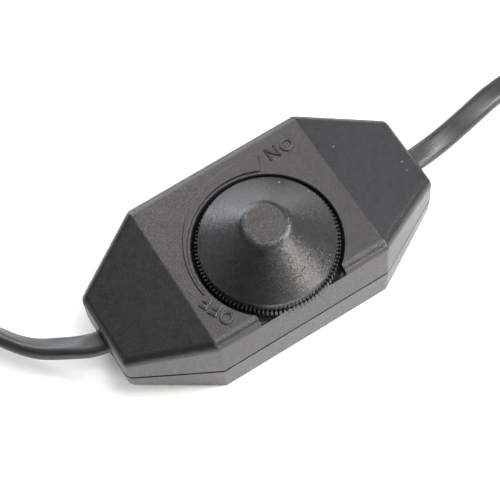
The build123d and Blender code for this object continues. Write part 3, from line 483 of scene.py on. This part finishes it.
SOOT_DARK = (0.0105, 0.0107, 0.0118)
SOOT_LIGHT = (0.0145, 0.0147, 0.016)
DUST = (0.3, 0.3, 0.29)
# Near-black colour of the painted shade in the seam's gap and the knob's recess
UNLIT = (0.001, 0.001, 0.001)
HOUSING_FINISH = grained_plastic(
    "housing_black", SOOT_DARK, SOOT_LIGHT, 0.34, 0.04, 0.15, flecks=SHELL_FLECKS, shaded=True
)
KNOB_FINISH = grained_plastic(
    "knob_black", SOOT_DARK, SOOT_LIGHT, 0.31, 0.045, 0.19, flecks=KNOB_FLECKS, nicks=KNOB_NICKS
)
CORD_FINISH = lead_plastic("cord_black", (0.014, 0.014, 0.015), (0.022, 0.022, 0.023), 0.36)
CONNECTOR_FINISH = grained_plastic(
    "connector_black", (0.018, 0.018, 0.019), (0.025, 0.025, 0.026), 0.45, 0.03, 0.15
)
NODE_FINISHES = [
    ("housing_screws board_screws clamp_screws heat_sink_screw heat_sink_nut",
     bare_metal("zinc_steel", (0.5, 0.5, 0.52), (0.68, 0.68, 0.7), 0.32)),
    ("pot_case pot_terminals switch_terminals",
     bare_metal("tin_steel", (0.56, 0.56, 0.57), (0.7, 0.7, 0.71), 0.35)),
    ("pot_shaft", bare_metal("turned_aluminium", (0.66, 0.66, 0.67), (0.78, 0.78, 0.79), 0.28)),
    ("heat_sink", bare_metal("rolled_aluminium", (0.62, 0.62, 0.63), (0.74, 0.74, 0.75), 0.38)),
    ("pot_bush", bare_metal("turned_brass", (0.66, 0.5, 0.22), (0.8, 0.64, 0.34), 0.3)),
    ("input_socket_contact input_socket_pin output_plug_barrel output_plug_core",
     bare_metal("nickel_plate", (0.4, 0.39, 0.37), (0.52, 0.51, 0.49), 0.24)),
    ("choke_winding", bare_metal("enamelled_copper", (0.6, 0.27, 0.13), (0.76, 0.4, 0.22), 0.3)),
    ("pot_track pot_wiper", smooth_plastic("phenolic_brown", (0.16, 0.08, 0.04), (0.25, 0.14, 0.08), 0.45)),
    ("circuit_board", smooth_plastic("board_green", (0.03, 0.15, 0.06), (0.05, 0.21, 0.09), 0.35)),
    ("switch_case power_transistor timer_chip diode input_cord_clamp output_cord_clamp",
     smooth_plastic("part_black", (0.025, 0.025, 0.027), (0.04, 0.04, 0.042), 0.5)),
    ("choke_core", smooth_plastic("ferrite_grey", (0.08, 0.08, 0.085), (0.13, 0.13, 0.135), 0.55)),
    ("reservoir_capacitor", smooth_plastic("sleeve_blue", (0.035, 0.05, 0.13), (0.055, 0.08, 0.18), 0.3)),
    ("timing_capacitor", smooth_plastic("film_yellow", (0.62, 0.4, 0.08), (0.76, 0.54, 0.15), 0.3)),
    ("resistors", smooth_plastic("resistor_tan", (0.6, 0.48, 0.32), (0.72, 0.6, 0.43), 0.4)),
    ("input_plus_wire output_plus_wire",
     smooth_plastic("wire_red", (0.45, 0.02, 0.02), (0.58, 0.04, 0.04), 0.35)),
    ("input_minus_wire output_minus_wire",
     smooth_plastic("wire_black", (0.02, 0.02, 0.02), (0.03, 0.03, 0.03), 0.35)),
    ("input_socket_body output_plug_body", CONNECTOR_FINISH),
]
for names, finish in NODE_FINISHES:
    for node_name in names.split():
        nodes[node_name].data.materials.clear()
        nodes[node_name].data.materials.append(finish)


# Pieces
def plain_mesh(obj):
    """Turns an object with modifiers into one with a plain mesh."""
    depsgraph = bpy.context.evaluated_depsgraph_get()
    made = bpy.data.meshes.new_from_object(obj.evaluated_get(depsgraph))
    obj.modifiers.clear()
    obj.data = made


def new_object(name, data):
    """An object in the scene, at the origin."""
    obj = bpy.data.objects.new(name, data)
    bpy.context.scene.collection.objects.link(obj)
    return obj


def new_piece(name, mesh, finish):
    """An object with one finish."""
    mesh.materials.clear()
    mesh.materials.append(finish)
    return new_object(name, mesh)


def seat_piece(piece, body, slot, *replaced):
    """Puts a piece on its body and hides the solids that it stands for."""
    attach(piece, body)
    if replaced:
        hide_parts(*replaced)


def skin(build, name, sharp=None):
    """Turns a shape under construction into a smooth mesh, sharp over an angle in degrees."""
    bmesh.ops.recalc_face_normals(build, faces=build.faces)
    mesh = bpy.data.meshes.new(name)
    build.to_mesh(mesh)
    build.free()
    mesh.shade_smooth()
    if sharp:
        mesh.set_sharp_from_angle(angle=math.radians(sharp))
    return mesh


def bridge(build, near, far):
    """A band of faces between two rings of as many points."""
    faces = []
    for index in range(len(near)):
        following = (index + 1) % len(near)
        faces.append(build.faces.new((near[index], near[following], far[following], far[index])))
    return faces


def normal_layer(build):
    """Where a shell under construction keeps its corners' normals."""
    return build.loops.layers.float_vector["solid_normal"]


def turn_normals(vertex, layer, old, limit, new):
    """Gives a point's corners a new normal where theirs lies within an angle of an old one."""
    for loop in vertex.link_loops:
        if old.angle(Vector(loop[layer]), 0.0) < limit:
            loop[layer] = new


def merged_copy(node):
    """A solid's skin as one connected mesh that keeps the solid's normals, sharp where the solid is."""
    mesh = nodes[node].data.copy()
    normals = mesh.attributes.new("solid_normal", "FLOAT_VECTOR", "CORNER")
    for index, normal in enumerate(mesh.corner_normals):
        normals.data[index].vector = normal.vector
    build = bmesh.new()
    build.from_mesh(mesh)
    build.faces.layers.int.new("softened")
    bpy.data.meshes.remove(mesh)
    bmesh.ops.remove_doubles(build, verts=build.verts, dist=0.001 * MM)
    layer = normal_layer(build)
    for edge in build.edges:
        sides = {}
        for face in edge.link_faces:
            for loop in face.loops:
                if loop.vert in edge.verts:
                    sides.setdefault(loop.vert, []).append(Vector(loop[layer]))
        pairs = sides.values()
        edge.smooth = all(len(pair) == 2 and pair[0].angle(pair[1], 0.0) < SMOOTH_ANGLE for pair in pairs)
    return build


def top_edges():
    """The faces that meet along the upper shell's rounded edge, as (fold, top, foot, outward, radius)."""
    fall = math.atan2(END_TOP_DROP, END_X - FOLD_X)
    outline = PLAN_CORNERS + [(-x, -y) for x, y in PLAN_CORNERS]
    sides = []
    for (x1, y1), (x2, y2) in zip(outline, outline[1:] + outline[:1]):
        along = Vector((x2 - x1, y2 - y1, 0)).normalized()
        front = along.x > 0.5
        setback = (SIDE_LEAN if abs(along.y) > 0.1 else FRONT_LEAN) if front else WALL_DRAFT
        lean = math.atan2(setback, PANEL_HEIGHT - SEAM_HEIGHT)
        outward = Vector((along.y * math.cos(lean), -along.x * math.cos(lean), math.sin(lean)))
        end = 0 if abs(x1 + x2) < 1 else math.copysign(1, x1 + x2)
        top = Vector((end * math.sin(fall), 0, math.cos(fall))) if end else Vector((0, 0, 1))
        fold = Vector((end * FOLD_X, 0, PANEL_HEIGHT))
        radius = FRONT_EDGE_RADIUS if front else TOP_EDGE_RADIUS
        sides.append((fold, top, Vector((x1, y1, SEAM_HEIGHT)), outward, radius))
    return sides


def from_edge_axis(place, side):
    """From a rounded edge's axis to a place: shares along the top's and wall's normals, and the whole."""
    fold, top, foot, outward, radius = side
    slant = top.dot(outward)
    above = radius + (place - fold).dot(top)
    beyond = radius + (place - foot).dot(outward)
    up = (above - slant * beyond) / (1 - slant * slant)
    out = (beyond - slant * above) / (1 - slant * slant)
    return up, out, top * up + outward * out


def cut_faces(build, chosen, plane_point, plane_normal):
    """Adds a row of points where a plane crosses the faces that are chosen."""
    build.normal_update()
    faces = [face for face in build.faces if chosen(face)]
    edges = {edge for face in faces for edge in face.edges}
    corners = {vertex for face in faces for vertex in face.verts}
    plane = {"plane_co": plane_point * MM, "plane_no": plane_normal, "dist": 0.0001 * MM}
    made = bmesh.ops.bisect_plane(build, geom=[*corners, *edges, *faces], **plane)
    for item in made["geom_cut"]:
        if isinstance(item, bmesh.types.BMEdge):
            item.smooth = True


def from_knob_axis(place):
    """Distance of a point from the knob's axis, in millimetres."""
    return math.hypot(place.x, place.y - KNOB_CENTRE_Y)


def below_notch(place):
    """Whether a place lies under the notch, at or below the recess's floor."""
    return place.z < RECESS_FLOOR + NEAR and from_knob_axis(place) < RECESS_REACH


def lean_front(build):
    """Leans the front walls in and gives their top edges a wider round, with more points where it begins."""
    layer = normal_layer(build)
    fronts = [side for side in top_edges() if side[4] > TOP_EDGE_RADIUS]
    for fold, top, foot, outward, radius in fronts:
        def on_top(face):
            flat = all(abs((vertex.co / MM - fold).dot(top)) < NEAR / 2 for vertex in face.verts)
            return flat and face.normal.dot(top) > TOP_FACING

        def on_wall(face):
            clear = all((vertex.co / MM - foot).dot(outward) > -NEAR for vertex in face.verts)
            return clear and face.normal.dot(outward) > WALL_FACING

        for share in (1.0, 0.9, 0.8):
            cut_faces(build, on_top, foot - outward * share * radius, outward)
            cut_faces(build, on_wall, fold - top * share * radius, top)
    for vertex in build.verts:
        place = vertex.co / MM
        # Twice over, so that a point at a corner fits both of its walls
        for side in fronts * 2:
            fold, top, foot, outward, radius = side
            excess = (place - foot).dot(outward)
            if excess > -NEAR:
                turn_normals(vertex, layer, outward, WALL_ANGLE, outward)
            if excess > 0:
                level = Vector((outward.x, outward.y, 0))
                place = place - level * (excess / level.length_squared)
            up, out, reach = from_edge_axis(place, side)
            if up > 0 and out > 0 and reach.length > radius and not below_notch(place):
                place = place + reach * (radius / reach.length - 1)
        vertex.co = place * MM


def edge_normal(side, reach):
    """The normal of a rounded edge: that of its round, but turning late along the straight front wall."""
    top, outward, radius = side[1], side[3], side[4]
    straight_front = radius == FRONT_EDGE_RADIUS and abs(outward.x) < 0.1
    across = reach - top * reach.dot(top)
    if not straight_front or across.length < 0.001:
        return reach.normalized()
    turn = top.angle(reach, 0.0)
    late = turn * min(1.0, EARLY_TURN + (1.0 - EARLY_TURN) * turn / FRONT_TURN)
    return top * math.cos(late) + across.normalized() * math.sin(late)


def round_top_edge(build):
    """Gives the rounded top edge its normals."""
    layer = normal_layer(build)
    sides = top_edges()
    for vertex in build.verts:
        if below_notch(vertex.co / MM):
            continue
        for side in sides:
            up, out, reach = from_edge_axis(vertex.co / MM, side)
            if min(up, out) > -NEAR and abs(reach.length - side[4]) < 3 * NEAR:
                turn_normals(vertex, layer, reach, ROUND_ANGLE, edge_normal(side, reach))


def flatten_normals(build, chosen):
    """Gives the chosen faces their own flat normals."""
    layer = normal_layer(build)
    for face in build.faces:
        if chosen(face):
            face.normal_update()
            for loop in face.loops:
                loop[layer] = face.normal


def open_seam(build, mouth):
    """Moves a shell's rim back from the parting line, so that a thin dark gap shows between the shells."""
    parting = SEAM_HEIGHT + math.copysign(SEAM_GAP, mouth - SEAM_HEIGHT)
    moved = set()
    for vertex in build.verts:
        height = vertex.co.z / MM
        share = (height - SEAM_HEIGHT) / (mouth - SEAM_HEIGHT)
        if -0.05 < share < 1.05:
            vertex.co.z = (parting + RIM_KEPT * (height - SEAM_HEIGHT)) * MM
            moved.add(vertex)
    flatten_normals(build, lambda face: all(vertex in moved for vertex in face.verts))


def on_recess_floor(vertex):
    """Whether a point of the upper shell lies on the knob recess's floor."""
    level = abs(vertex.co.z / MM - RECESS_FLOOR) < NEAR
    return level and from_knob_axis(vertex.co / MM) < RECESS_REACH


def deepen_recess(build):
    """Lowers the recess's floor and, further, the notch's sill in front of it."""
    for cut in (NOTCH_LIP_BACK, NOTCH_LIP_BACK + NOTCH_STEP):
        cut_faces(
            build,
            lambda face: face.normal.z > 0.9 and all(map(on_recess_floor, face.verts)),
            Vector((0, cut, 0)),
            Vector((0, 1, 0)),
        )
    drops = {}
    for vertex in filter(on_recess_floor, build.verts):
        behind = vertex.co.y / MM > NOTCH_LIP_BACK + NEAR
        drops[vertex] = RECESS_DEEPENED if behind else NOTCH_LOWERED
    for vertex, drop in drops.items():
        vertex.co.z -= drop * MM
    step = {RECESS_DEEPENED, NOTCH_LOWERED}
    flatten_normals(build, lambda face: {drops.get(vertex) for vertex in face.verts} == step)


def soften_edges(build, width, chosen):
    """Rounds the sharp outward edges whose middles are chosen."""
    edges = []
    for edge in build.edges:
        if not edge.smooth and edge.calc_face_angle_signed() > 0.0:
            middle = (edge.verts[0].co + edge.verts[1].co) / (2 * MM)
            if chosen(middle):
                edges.append(edge)
                edge.smooth = True
    shape = {"offset": width * MM, "segments": 4, "profile": 0.5, "affect": "EDGES", "clamp_overlap": False}
    made = bmesh.ops.bevel(build, geom=edges, **shape)
    softened = build.faces.layers.int["softened"]
    for face in made["faces"]:
        face[softened] = 1


def round_normals(build):
    """Turns the normals of softened edges smoothly from one neighbouring face to the other."""
    softened = build.faces.layers.int["softened"]
    layer = normal_layer(build)
    build.normal_update()
    for face in build.faces:
        if not face[softened]:
            continue
        for loop in face.loops:
            others = loop.vert.link_loops
            beside = [Vector(other[layer]) for other in others if not other.face[softened]]
            if beside:
                loop[layer] = max(beside, key=face.normal.dot)
            else:
                loop[layer] = sum((other.face.normal for other in others), Vector((0, 0, 0))).normalized()


def finish_shell(build, name, node):
    """Turns a shell under construction into the piece that stands for its solid."""
    round_normals(build)
    mesh = bpy.data.meshes.new(name)
    build.to_mesh(mesh)
    build.free()
    normals = [Vector(item.vector).normalized() for item in mesh.attributes["solid_normal"].data]
    mesh.attributes.remove(mesh.attributes["solid_normal"])
    mesh.attributes.remove(mesh.attributes["softened"])
    mesh.shade_smooth()
    mesh.normals_split_custom_set(normals)
    shell = new_piece(name, mesh, HOUSING_FINISH)
    seat_piece(shell, "housing", "housing_black", node)


def on_fold(place):
    """Whether an edge's middle lies on a fold between the panel and an end's slope."""
    return abs(abs(place.x) - FOLD_X) < 0.4 and FOLD_SOFT_FROM < place.z < PANEL_HEIGHT + 0.1


def on_sill(place):
    """Whether an edge's middle lies on the sill of the notch, in front of the recess."""
    return abs(place.z - RECESS_FLOOR + NOTCH_LOWERED) < 3 * NEAR and place.y < NOTCH_LIP_BACK - 0.1


def on_wedge(place):
    """Whether a place lies on top of the wedge mark."""
    return place.z > PANEL_HEIGHT + 0.2


def make_upper_shell():
    """The upper shell with a deeper recess, leaning front walls, an open seam and softened edges."""
    build = merged_copy("upper_housing")
    deepen_recess(build)
    soften_edges(build, FOLD_SOFTNESS, on_fold)
    lean_front(build)
    round_top_edge(build)
    open_seam(build, SEAM_HEIGHT + SEAM_BREAK)
    soften_edges(build, SILL_SOFTNESS, on_sill)
    for vertex in build.verts:
        if on_wedge(vertex.co / MM):
            vertex.co.z += WEDGE_RAISED * MM
    soften_edges(build, WEDGE_SOFTNESS, on_wedge)
    finish_shell(build, "upper_shell", "upper_housing")


def make_lower_shell():
    """The lower shell with an open seam and a softened edge round its underside."""
    build = merged_copy("lower_housing")
    open_seam(build, SEAM_HEIGHT - SEAM_BREAK)
    soften_edges(build, UNDERSIDE_SOFTNESS, lambda m: m.z < NEAR)
    finish_shell(build, "lower_shell", "lower_housing")


make_upper_shell()
make_lower_shell()


# Knob
def arc(centre, radius, start, end, steps):
    """Points on an arc in radius and height, by angles from level."""
    points = []
    for step in range(steps + 1):
        angle = math.radians(start + (end - start) * step / steps)
        points.append((centre[0] + radius * math.cos(angle), centre[1] + radius * math.sin(angle)))
    return points


def knob_outline():
    """Half of the knob's section, from the middle of its top round to the end of its bore."""
    slope = math.degrees(math.atan2(KNOB_TOP - CONE_BOTTOM, CONE_RADIUS - PLATEAU_RADIUS))
    reach = PLATEAU_EDGE_RADIUS * math.tan(math.radians(slope / 2))
    brow = (PLATEAU_RADIUS - reach, KNOB_TOP - PLATEAU_EDGE_RADIUS)
    drop = CREASE_RADIUS * math.tan(math.radians((90 - slope) / 2))
    crease = (CONE_RADIUS - CREASE_RADIUS, CONE_BOTTOM - drop)
    top_edge = arc(brow, PLATEAU_EDGE_RADIUS, 90, 90 - slope, 8)
    cone_edge = arc(crease, CREASE_RADIUS, 90 - slope, 0, 5)
    outline = [(radius, KNOB_TOP) for radius in (0.0, 1.6, 3.0, 4.2)] + top_edge
    for share in (0.03, 0.3, 0.6, 0.97):
        outline.append(tuple(a + (b - a) * share for a, b in zip(top_edge[-1], cone_edge[0])))
    outline += cone_edge
    outline += [
        (CONE_RADIUS + 0.01, crease[1] - 0.12),
        (BAND_RADIUS - 0.01, TOOTH_TOP + 0.18),
        (BAND_RADIUS, TOOTH_TOP + 0.07),
        (BAND_RADIUS - 0.05, TOOTH_TOP),
        (SLOT_ROOT_RADIUS + 0.06, TOOTH_TOP - 0.02),
        (SLOT_ROOT_RADIUS, TOOTH_TOP - 0.08),
        (SLOT_ROOT_RADIUS, KNOB_BOTTOM),
        (SKIRT_INNER_RADIUS, KNOB_BOTTOM),
        (SKIRT_INNER_RADIUS, SKIRT_CEILING),
        (HUB_RADIUS, HUB_CEILING),
        (HUB_RADIUS, KNOB_BOTTOM),
        (BORE_RADIUS, KNOB_BOTTOM),
        (BORE_RADIUS, BORE_TOP),
        (0.0, BORE_TOP),
    ]
    return outline


def knob_point(radius, angle, height):
    """A point by radius, angle and height about the knob's axis."""
    x = radius * math.cos(angle)
    y = KNOB_CENTRE_Y + radius * math.sin(angle)
    return (x * MM, y * MM, height * MM)


def turn_outline(build, outline, segments):
    """Turns a half section that starts and ends on the knob's axis into a closed skin."""
    rings = []
    for radius, height in outline:
        if radius == 0.0:
            rings.append([build.verts.new((0, KNOB_CENTRE_Y * MM, height * MM))])
            continue
        ring = []
        for index in range(segments):
            angle = 2 * math.pi * index / segments
            ring.append(build.verts.new(knob_point(radius, angle, height)))
        rings.append(ring)
    for upper, lower in zip(rings, rings[1:]):
        for index in range(segments):
            following = (index + 1) % segments
            corners = [upper[index % len(upper)], lower[index % len(lower)]]
            corners += [lower[following % len(lower)], upper[following % len(upper)]]
            build.faces.new(list(dict.fromkeys(corners)))


def add_prism(build, lower, upper):
    """A closed prism between two outlines of as many points."""
    below = [build.verts.new(place) for place in lower]
    above = [build.verts.new(place) for place in upper]
    build.faces.new(list(reversed(below)))
    build.faces.new(above)
    bridge(build, below, above)


def add_knob_inside(build):
    """Four ribs under the cone and the flat in the bore."""
    rib = [
        (HUB_RADIUS - 0.2, KNOB_BOTTOM + RIB_START),
        (SKIRT_INNER_RADIUS + 0.2, KNOB_BOTTOM + RIB_START),
        (SKIRT_INNER_RADIUS + 0.2, SKIRT_CEILING),
        (HUB_RADIUS - 0.2, HUB_CEILING + 0.3),
    ]
    for index in range(4):
        angle = math.pi / 2 * index
        across = Vector((-math.sin(angle), math.cos(angle), 0)) * RIB_HALF_WIDTH * MM
        middle = [Vector(knob_point(radius, angle, height)) for radius, height in rib]
        add_prism(build, [place + across for place in middle], [place - across for place in middle])
    half = math.acos(BORE_FLAT / (BORE_RADIUS + 0.1))
    segment = [half * (step / 4 - 1) for step in range(9)]
    lower = [knob_point(BORE_RADIUS + 0.1, angle, KNOB_BOTTOM) for angle in segment]
    upper = [knob_point(BORE_RADIUS + 0.1, angle, BORE_TOP + 0.1) for angle in segment]
    add_prism(build, lower, upper)


def make_tooth():
    """One tooth of the rim on the X axis, narrow under the knob's band and flared below."""
    build = bmesh.new()
    rings = []
    for height, reach, foot, face, dome in TOOTH_ROWS:
        half = [
            (SLOT_ROOT_RADIUS - 0.07, foot, height - dome),
            (reach - 0.09, face + 0.02, height - dome),
            (reach - 0.005, face - 0.06, height - 0.4 * dome),
        ]
        section = half + [(reach, 0.0, height)]
        section += [(radius, -across, level) for radius, across, level in reversed(half)]
        rings.append([build.verts.new(Vector(place) * MM) for place in section])
    for upper, lower in zip(rings, rings[1:]):
        bridge(build, upper, lower)
    build.faces.new(rings[0])
    build.faces.new(rings[-1])
    return bpy.data.objects.new("rim_tooth", skin(build, "rim_tooth", 55))


def make_tooth_ring():
    """A tree that sets copies of a tooth round an upright axis and joins them to the knob's body."""
    tree = bpy.data.node_groups.new("tooth_ring", "GeometryNodeTree")
    kinds = {
        "Body": "Geometry",
        "Tooth": "Object",
        "Tooth count": "Int",
        "Axis place": "Vector",
        "Finish": "Material",
    }
    for label, kind in kinds.items():
        tree.interface.new_socket(label, in_out="INPUT", socket_type="NodeSocket" + kind)
    tree.interface.new_socket("Geometry", in_out="OUTPUT", socket_type="NodeSocketGeometry")
    start = tree.nodes.new("NodeGroupInput")
    end = tree.nodes.new("NodeGroupOutput")
    count = start.outputs["Tooth count"]
    tooth = add_node(tree, "GeometryNodeObjectInfo", Object=start.outputs["Tooth"])
    points = add_node(tree, "GeometryNodePoints", Count=count, Position=start.outputs["Axis place"])
    index = add_node(tree, "GeometryNodeInputIndex").outputs["Index"]
    angle = maths(tree, "MULTIPLY", index, maths(tree, "DIVIDE", 2 * math.pi, count))
    turn = add_node(tree, "ShaderNodeCombineXYZ", Z=angle).outputs["Vector"]
    rotation = add_node(tree, "FunctionNodeEulerToRotation", Euler=turn).outputs["Rotation"]
    ring = {"Points": points.outputs[0], "Instance": tooth.outputs["Geometry"], "Rotation": rotation}
    copies = add_node(tree, "GeometryNodeInstanceOnPoints", **ring)
    real = add_node(tree, "GeometryNodeRealizeInstances", Geometry=copies.outputs["Instances"])
    joined = add_node(tree, "GeometryNodeJoinGeometry", Geometry=real.outputs["Geometry"])
    tree.links.new(start.outputs["Body"], joined.inputs["Geometry"])
    finish = add_node(tree, "GeometryNodeSetMaterial", Geometry=joined.outputs["Geometry"])
    tree.links.new(start.outputs["Finish"], finish.inputs["Material"])
    tree.links.new(finish.outputs["Geometry"], end.inputs["Geometry"])
    return tree


def set_tree_inputs(piece, tree, **values):
    """Adds a geometry tree to a piece and sets its inputs by their identifiers."""
    modifier = piece.modifiers.new(tree.name, "NODES")
    modifier.node_group = tree
    for item in tree.interface.items_tree:
        key = item.name.replace(" ", "_")
        if item.in_out == "INPUT" and key in values:
            modifier[item.identifier] = values[key]


def make_knob():
    """The hollow cone of the knob with its ring of teeth."""
    build = bmesh.new()
    turn_outline(build, knob_outline(), 2 * TOOTH_COUNT)
    add_knob_inside(build)
    knob = new_piece("turning_knob", skin(build, "turning_knob", 40), KNOB_FINISH)
    tooth = make_tooth()
    axis = (0.0, KNOB_CENTRE_Y * MM, 0.0)
    tree = make_tooth_ring()
    set_tree_inputs(knob, tree, Tooth=tooth, Tooth_count=TOOTH_COUNT, Axis_place=axis, Finish=KNOB_FINISH)
    plain_mesh(knob)
    bpy.data.objects.remove(tooth)
    seat_piece(knob, "knob", "knob_black", "control_knob")


make_knob()


# Lettering
def add_stroke(build, points, closed):
    """A raised stroke along points on the panel, with sloping sides and a softened top."""
    section = STROKE_SECTION + [(-across, rise) for across, rise in reversed(STROKE_SECTION)]
    places = [Vector((x, y, PANEL_HEIGHT)) for x, y in points]
    count = len(places)
    rings = []
    for index, place in enumerate(places):
        before = places[index - 1] if index or closed else place
        after = places[(index + 1) % count] if index + 1 < count or closed else place
        ahead = (after - before).normalized()
        side = Vector((ahead.y, -ahead.x, 0))
        rings.append([build.verts.new((place + side * x + Vector((0, 0, z))) * MM) for x, z in section])
    for near, far in zip(rings, rings[1:]):
        bridge(build, near, far)
    if closed:
        bridge(build, rings[-1], rings[0])
    else:
        build.faces.new(rings[0])
        build.faces.new(rings[-1])


def letter_strokes(letter):
    """The strokes of a letter one unit high, from its lower left corner."""
    if letter in STRAIGHT_STROKES:
        return STRAIGHT_STROKES[letter]
    ring = []
    for step in range(ROUND_STROKE_STEPS):
        angle = 2 * math.pi * step / ROUND_STROKE_STEPS
        spoke = Vector((math.cos(angle), math.sin(angle))) * ROUND_STROKE_RADIUS
        ring.append(Vector((0.5, 0.5)) + spoke)
    return [ring]


def make_lettering():
    """OFF and ON beside the ends of the wedge mark."""
    build = bmesh.new()
    for letter, x, y, turn, height in LETTERS:
        along = Vector((math.cos(math.radians(turn)), math.sin(math.radians(turn))))
        up = Vector((-along.y, along.x))
        for stroke in letter_strokes(letter):
            points = [Vector((x, y)) + (along * u + up * v) * height for u, v in stroke]
            add_stroke(build, points, closed=letter not in STRAIGHT_STROKES)
    lettering = new_piece("raised_lettering", skin(build, "raised_lettering", 50), HOUSING_FINISH)
    seat_piece(lettering, "housing", "housing_black")


make_lettering()


# Leads
def lead_line(name, route):
    """The smooth line of a lead as points, from a spline with the route's points."""
    curve = bpy.data.curves.new(name + "_line", "CURVE")
    curve.dimensions = "3D"
    curve.resolution_u = 20
    spline = curve.splines.new("NURBS")
    spline.points.add(len(route) - 1)
    for point, place in zip(spline.points, route):
        point.co = (*[c * MM for c in place], 1.0)
    spline.order_u = 3
    spline.use_endpoint_u = True
    holder = bpy.data.objects.new(name + "_line", curve)
    line = bpy.data.meshes.new_from_object(holder)
    points = [vertex.co.copy() for vertex in line.vertices]
    bpy.data.objects.remove(holder)
    bpy.data.meshes.remove(line)
    return points


def flat_section(width, thickness, corner, steps=5):
    """The outline of a flat lead with round corners, about its middle."""
    outline = []
    for quarter, (sx, sy) in enumerate(((1, 1), (-1, 1), (-1, -1), (1, -1))):
        cx = sx * (width / 2 - corner)
        cy = sy * (thickness / 2 - corner)
        for step in range(steps + 1):
            angle = math.pi / 2 * (quarter + step / steps)
            outline.append((cx + corner * math.cos(angle), cy + corner * math.sin(angle)))
    return outline


def twist_at(share, twists):
    """The twist at a share of the length, eased between the given pairs."""
    for (start, low), (end, high) in zip(twists, twists[1:]):
        if share <= end:
            step = (share - start) / (end - start)
            step = step * step * (3 - 2 * step)
            return low + (high - low) * step
    return twists[-1][1]


def sweep_lead(name, route, twists):
    """A flat lead along its line, with its points and its length."""
    points = lead_line(name, route)
    lengths = [0.0]
    for before, after in zip(points, points[1:]):
        lengths.append(lengths[-1] + (after - before).length)
    section = flat_section(CORD_WIDTH, CORD_THICKNESS, CORD_CORNER)
    round_section = [0.0]
    for (x1, y1), (x2, y2) in zip(section, section[1:] + section[:1]):
        round_section.append(round_section[-1] + math.hypot(x2 - x1, y2 - y1))
    build = bmesh.new()
    unwrapped = build.loops.layers.uv.new("lead_uv")
    rings = []
    for index, place in enumerate(points):
        ahead = points[min(index + 1, len(points) - 1)] - points[max(index - 1, 0)]
        ahead.normalize()
        twist = math.radians(twist_at(lengths[index] / lengths[-1], twists))
        side = Matrix.Rotation(twist, 3, ahead) @ Vector((0, 0, 1)).cross(ahead).normalized()
        rise = ahead.cross(side)
        rings.append([build.verts.new(place + (side * x + rise * y) * MM) for x, y in section])
    for step, (near, far) in enumerate(zip(rings, rings[1:])):
        along = (lengths[step] / MM, lengths[step + 1] / MM)
        for index, face in enumerate(bridge(build, near, far)):
            across = (round_section[index], round_section[index + 1])
            for loop, (u, v) in zip(face.loops, ((0, 0), (1, 0), (1, 1), (0, 1))):
                loop[unwrapped].uv = (across[u], along[v])
    build.faces.new(list(reversed(rings[0])))
    build.faces.new(rings[-1])
    return new_piece(name, skin(build, name), CORD_FINISH), points, lengths[-1]


input_lead, input_line, input_length = sweep_lead("input_lead", INPUT_ROUTE, INPUT_TWISTS)
output_lead, output_line, output_length = sweep_lead("output_lead", OUTPUT_ROUTE, OUTPUT_TWISTS)
seat_piece(input_lead, "housing", "cord_black", "input_cord")
seat_piece(output_lead, "housing", "cord_black", "output_cord")


# Studio
def make_floor():
    """A plain pale sheet under the object."""
    build = bmesh.new()
    bmesh.ops.create_grid(build, x_segments=1, y_segments=1, size=FLOOR_HALF_SIDE)
    mesh = bpy.data.meshes.new("floor_sheet")
    build.to_mesh(mesh)
    build.free()
    material, tree, shader = new_finish("pale_paper")
    set_inputs(tree, shader, Base_Color=(0.97, 0.97, 0.97, 1.0), Roughness=0.9)
    set_inputs(tree, shader, Emission_Color=(1.0, 0.97, 0.9, 1.0), Emission_Strength=FLOOR_GLOW)
    floor = new_piece("floor_sheet", mesh, material)


def softbox(name, azimuth, elevation, radiance, colour):
    """A square lamp that faces the object, as bright as the given radiance."""
    lamp = bpy.data.lights.new(name, "AREA")
    lamp.shape = "SQUARE"
    lamp.size = LAMP_SIDE
    lamp.energy = math.pi * radiance * LAMP_SIDE * LAMP_SIDE
    lamp.color = colour
    holder = new_object(name, lamp)
    around = math.radians(azimuth)
    above = math.radians(elevation)
    away = Vector((math.cos(around) * math.cos(above), math.sin(around) * math.cos(above), math.sin(above)))
    holder.location = away * LAMP_DISTANCE + Vector(LAMP_AIM)
    holder.rotation_mode = "QUATERNION"
    holder.rotation_quaternion = away.to_track_quat("Z", "Y")


def make_world(seen, felt):
    """An even surround that the camera sees pale and the object sees dim."""
    world = bpy.data.worlds.new("studio")
    bpy.context.scene.world = world
    world.use_nodes = True
    tree = world.node_tree
    tree.nodes.clear()
    path = tree.nodes.new("ShaderNodeLightPath")
    pale = add_node(tree, "ShaderNodeBackground", Color=(*seen, 1.0), Strength=1.0)
    dim = add_node(tree, "ShaderNodeBackground", Color=(*felt, 1.0), Strength=1.0)
    mixed = add_node(tree, "ShaderNodeMixShader", Fac=path.outputs["Is Camera Ray"])
    tree.links.new(dim.outputs[0], mixed.inputs[1])
    tree.links.new(pale.outputs[0], mixed.inputs[2])
    add_node(tree, "ShaderNodeOutputWorld", Surface=mixed.outputs[0])


def place_camera():
    """The camera where the photograph was taken from."""
    look = Vector(CAMERA_LOOK).normalized()
    level = look.cross(Vector((0, 0, 1))).normalized()
    roll = math.radians(CAMERA_ROLL)
    right = level * math.cos(roll) + level.cross(look) * math.sin(roll)
    up = right.cross(look)
    camera = bpy.data.cameras.new("camera")
    camera.lens = CAMERA_LENS
    camera.sensor_width = 36.0
    camera.clip_start = 0.01
    camera.clip_end = 10.0
    holder = new_object("camera", camera)
    turn = Matrix((right, up, -look)).transposed().to_4x4()
    holder.matrix_world = Matrix.Translation(CAMERA_PLACE) @ turn
    bpy.context.scene.camera = holder


make_floor()
make_world(SURROUND_SEEN, SURROUND_FELT)
for lamp_row in LAMPS:
    softbox(*lamp_row)
for number, (direction, height) in enumerate(FILL_PLACES):
    softbox(f"fill_{number}", direction, height, FILL_RADIANCE, COOL_WHITE)
place_camera()
bpy.context.scene.view_settings.view_transform = "Standard"
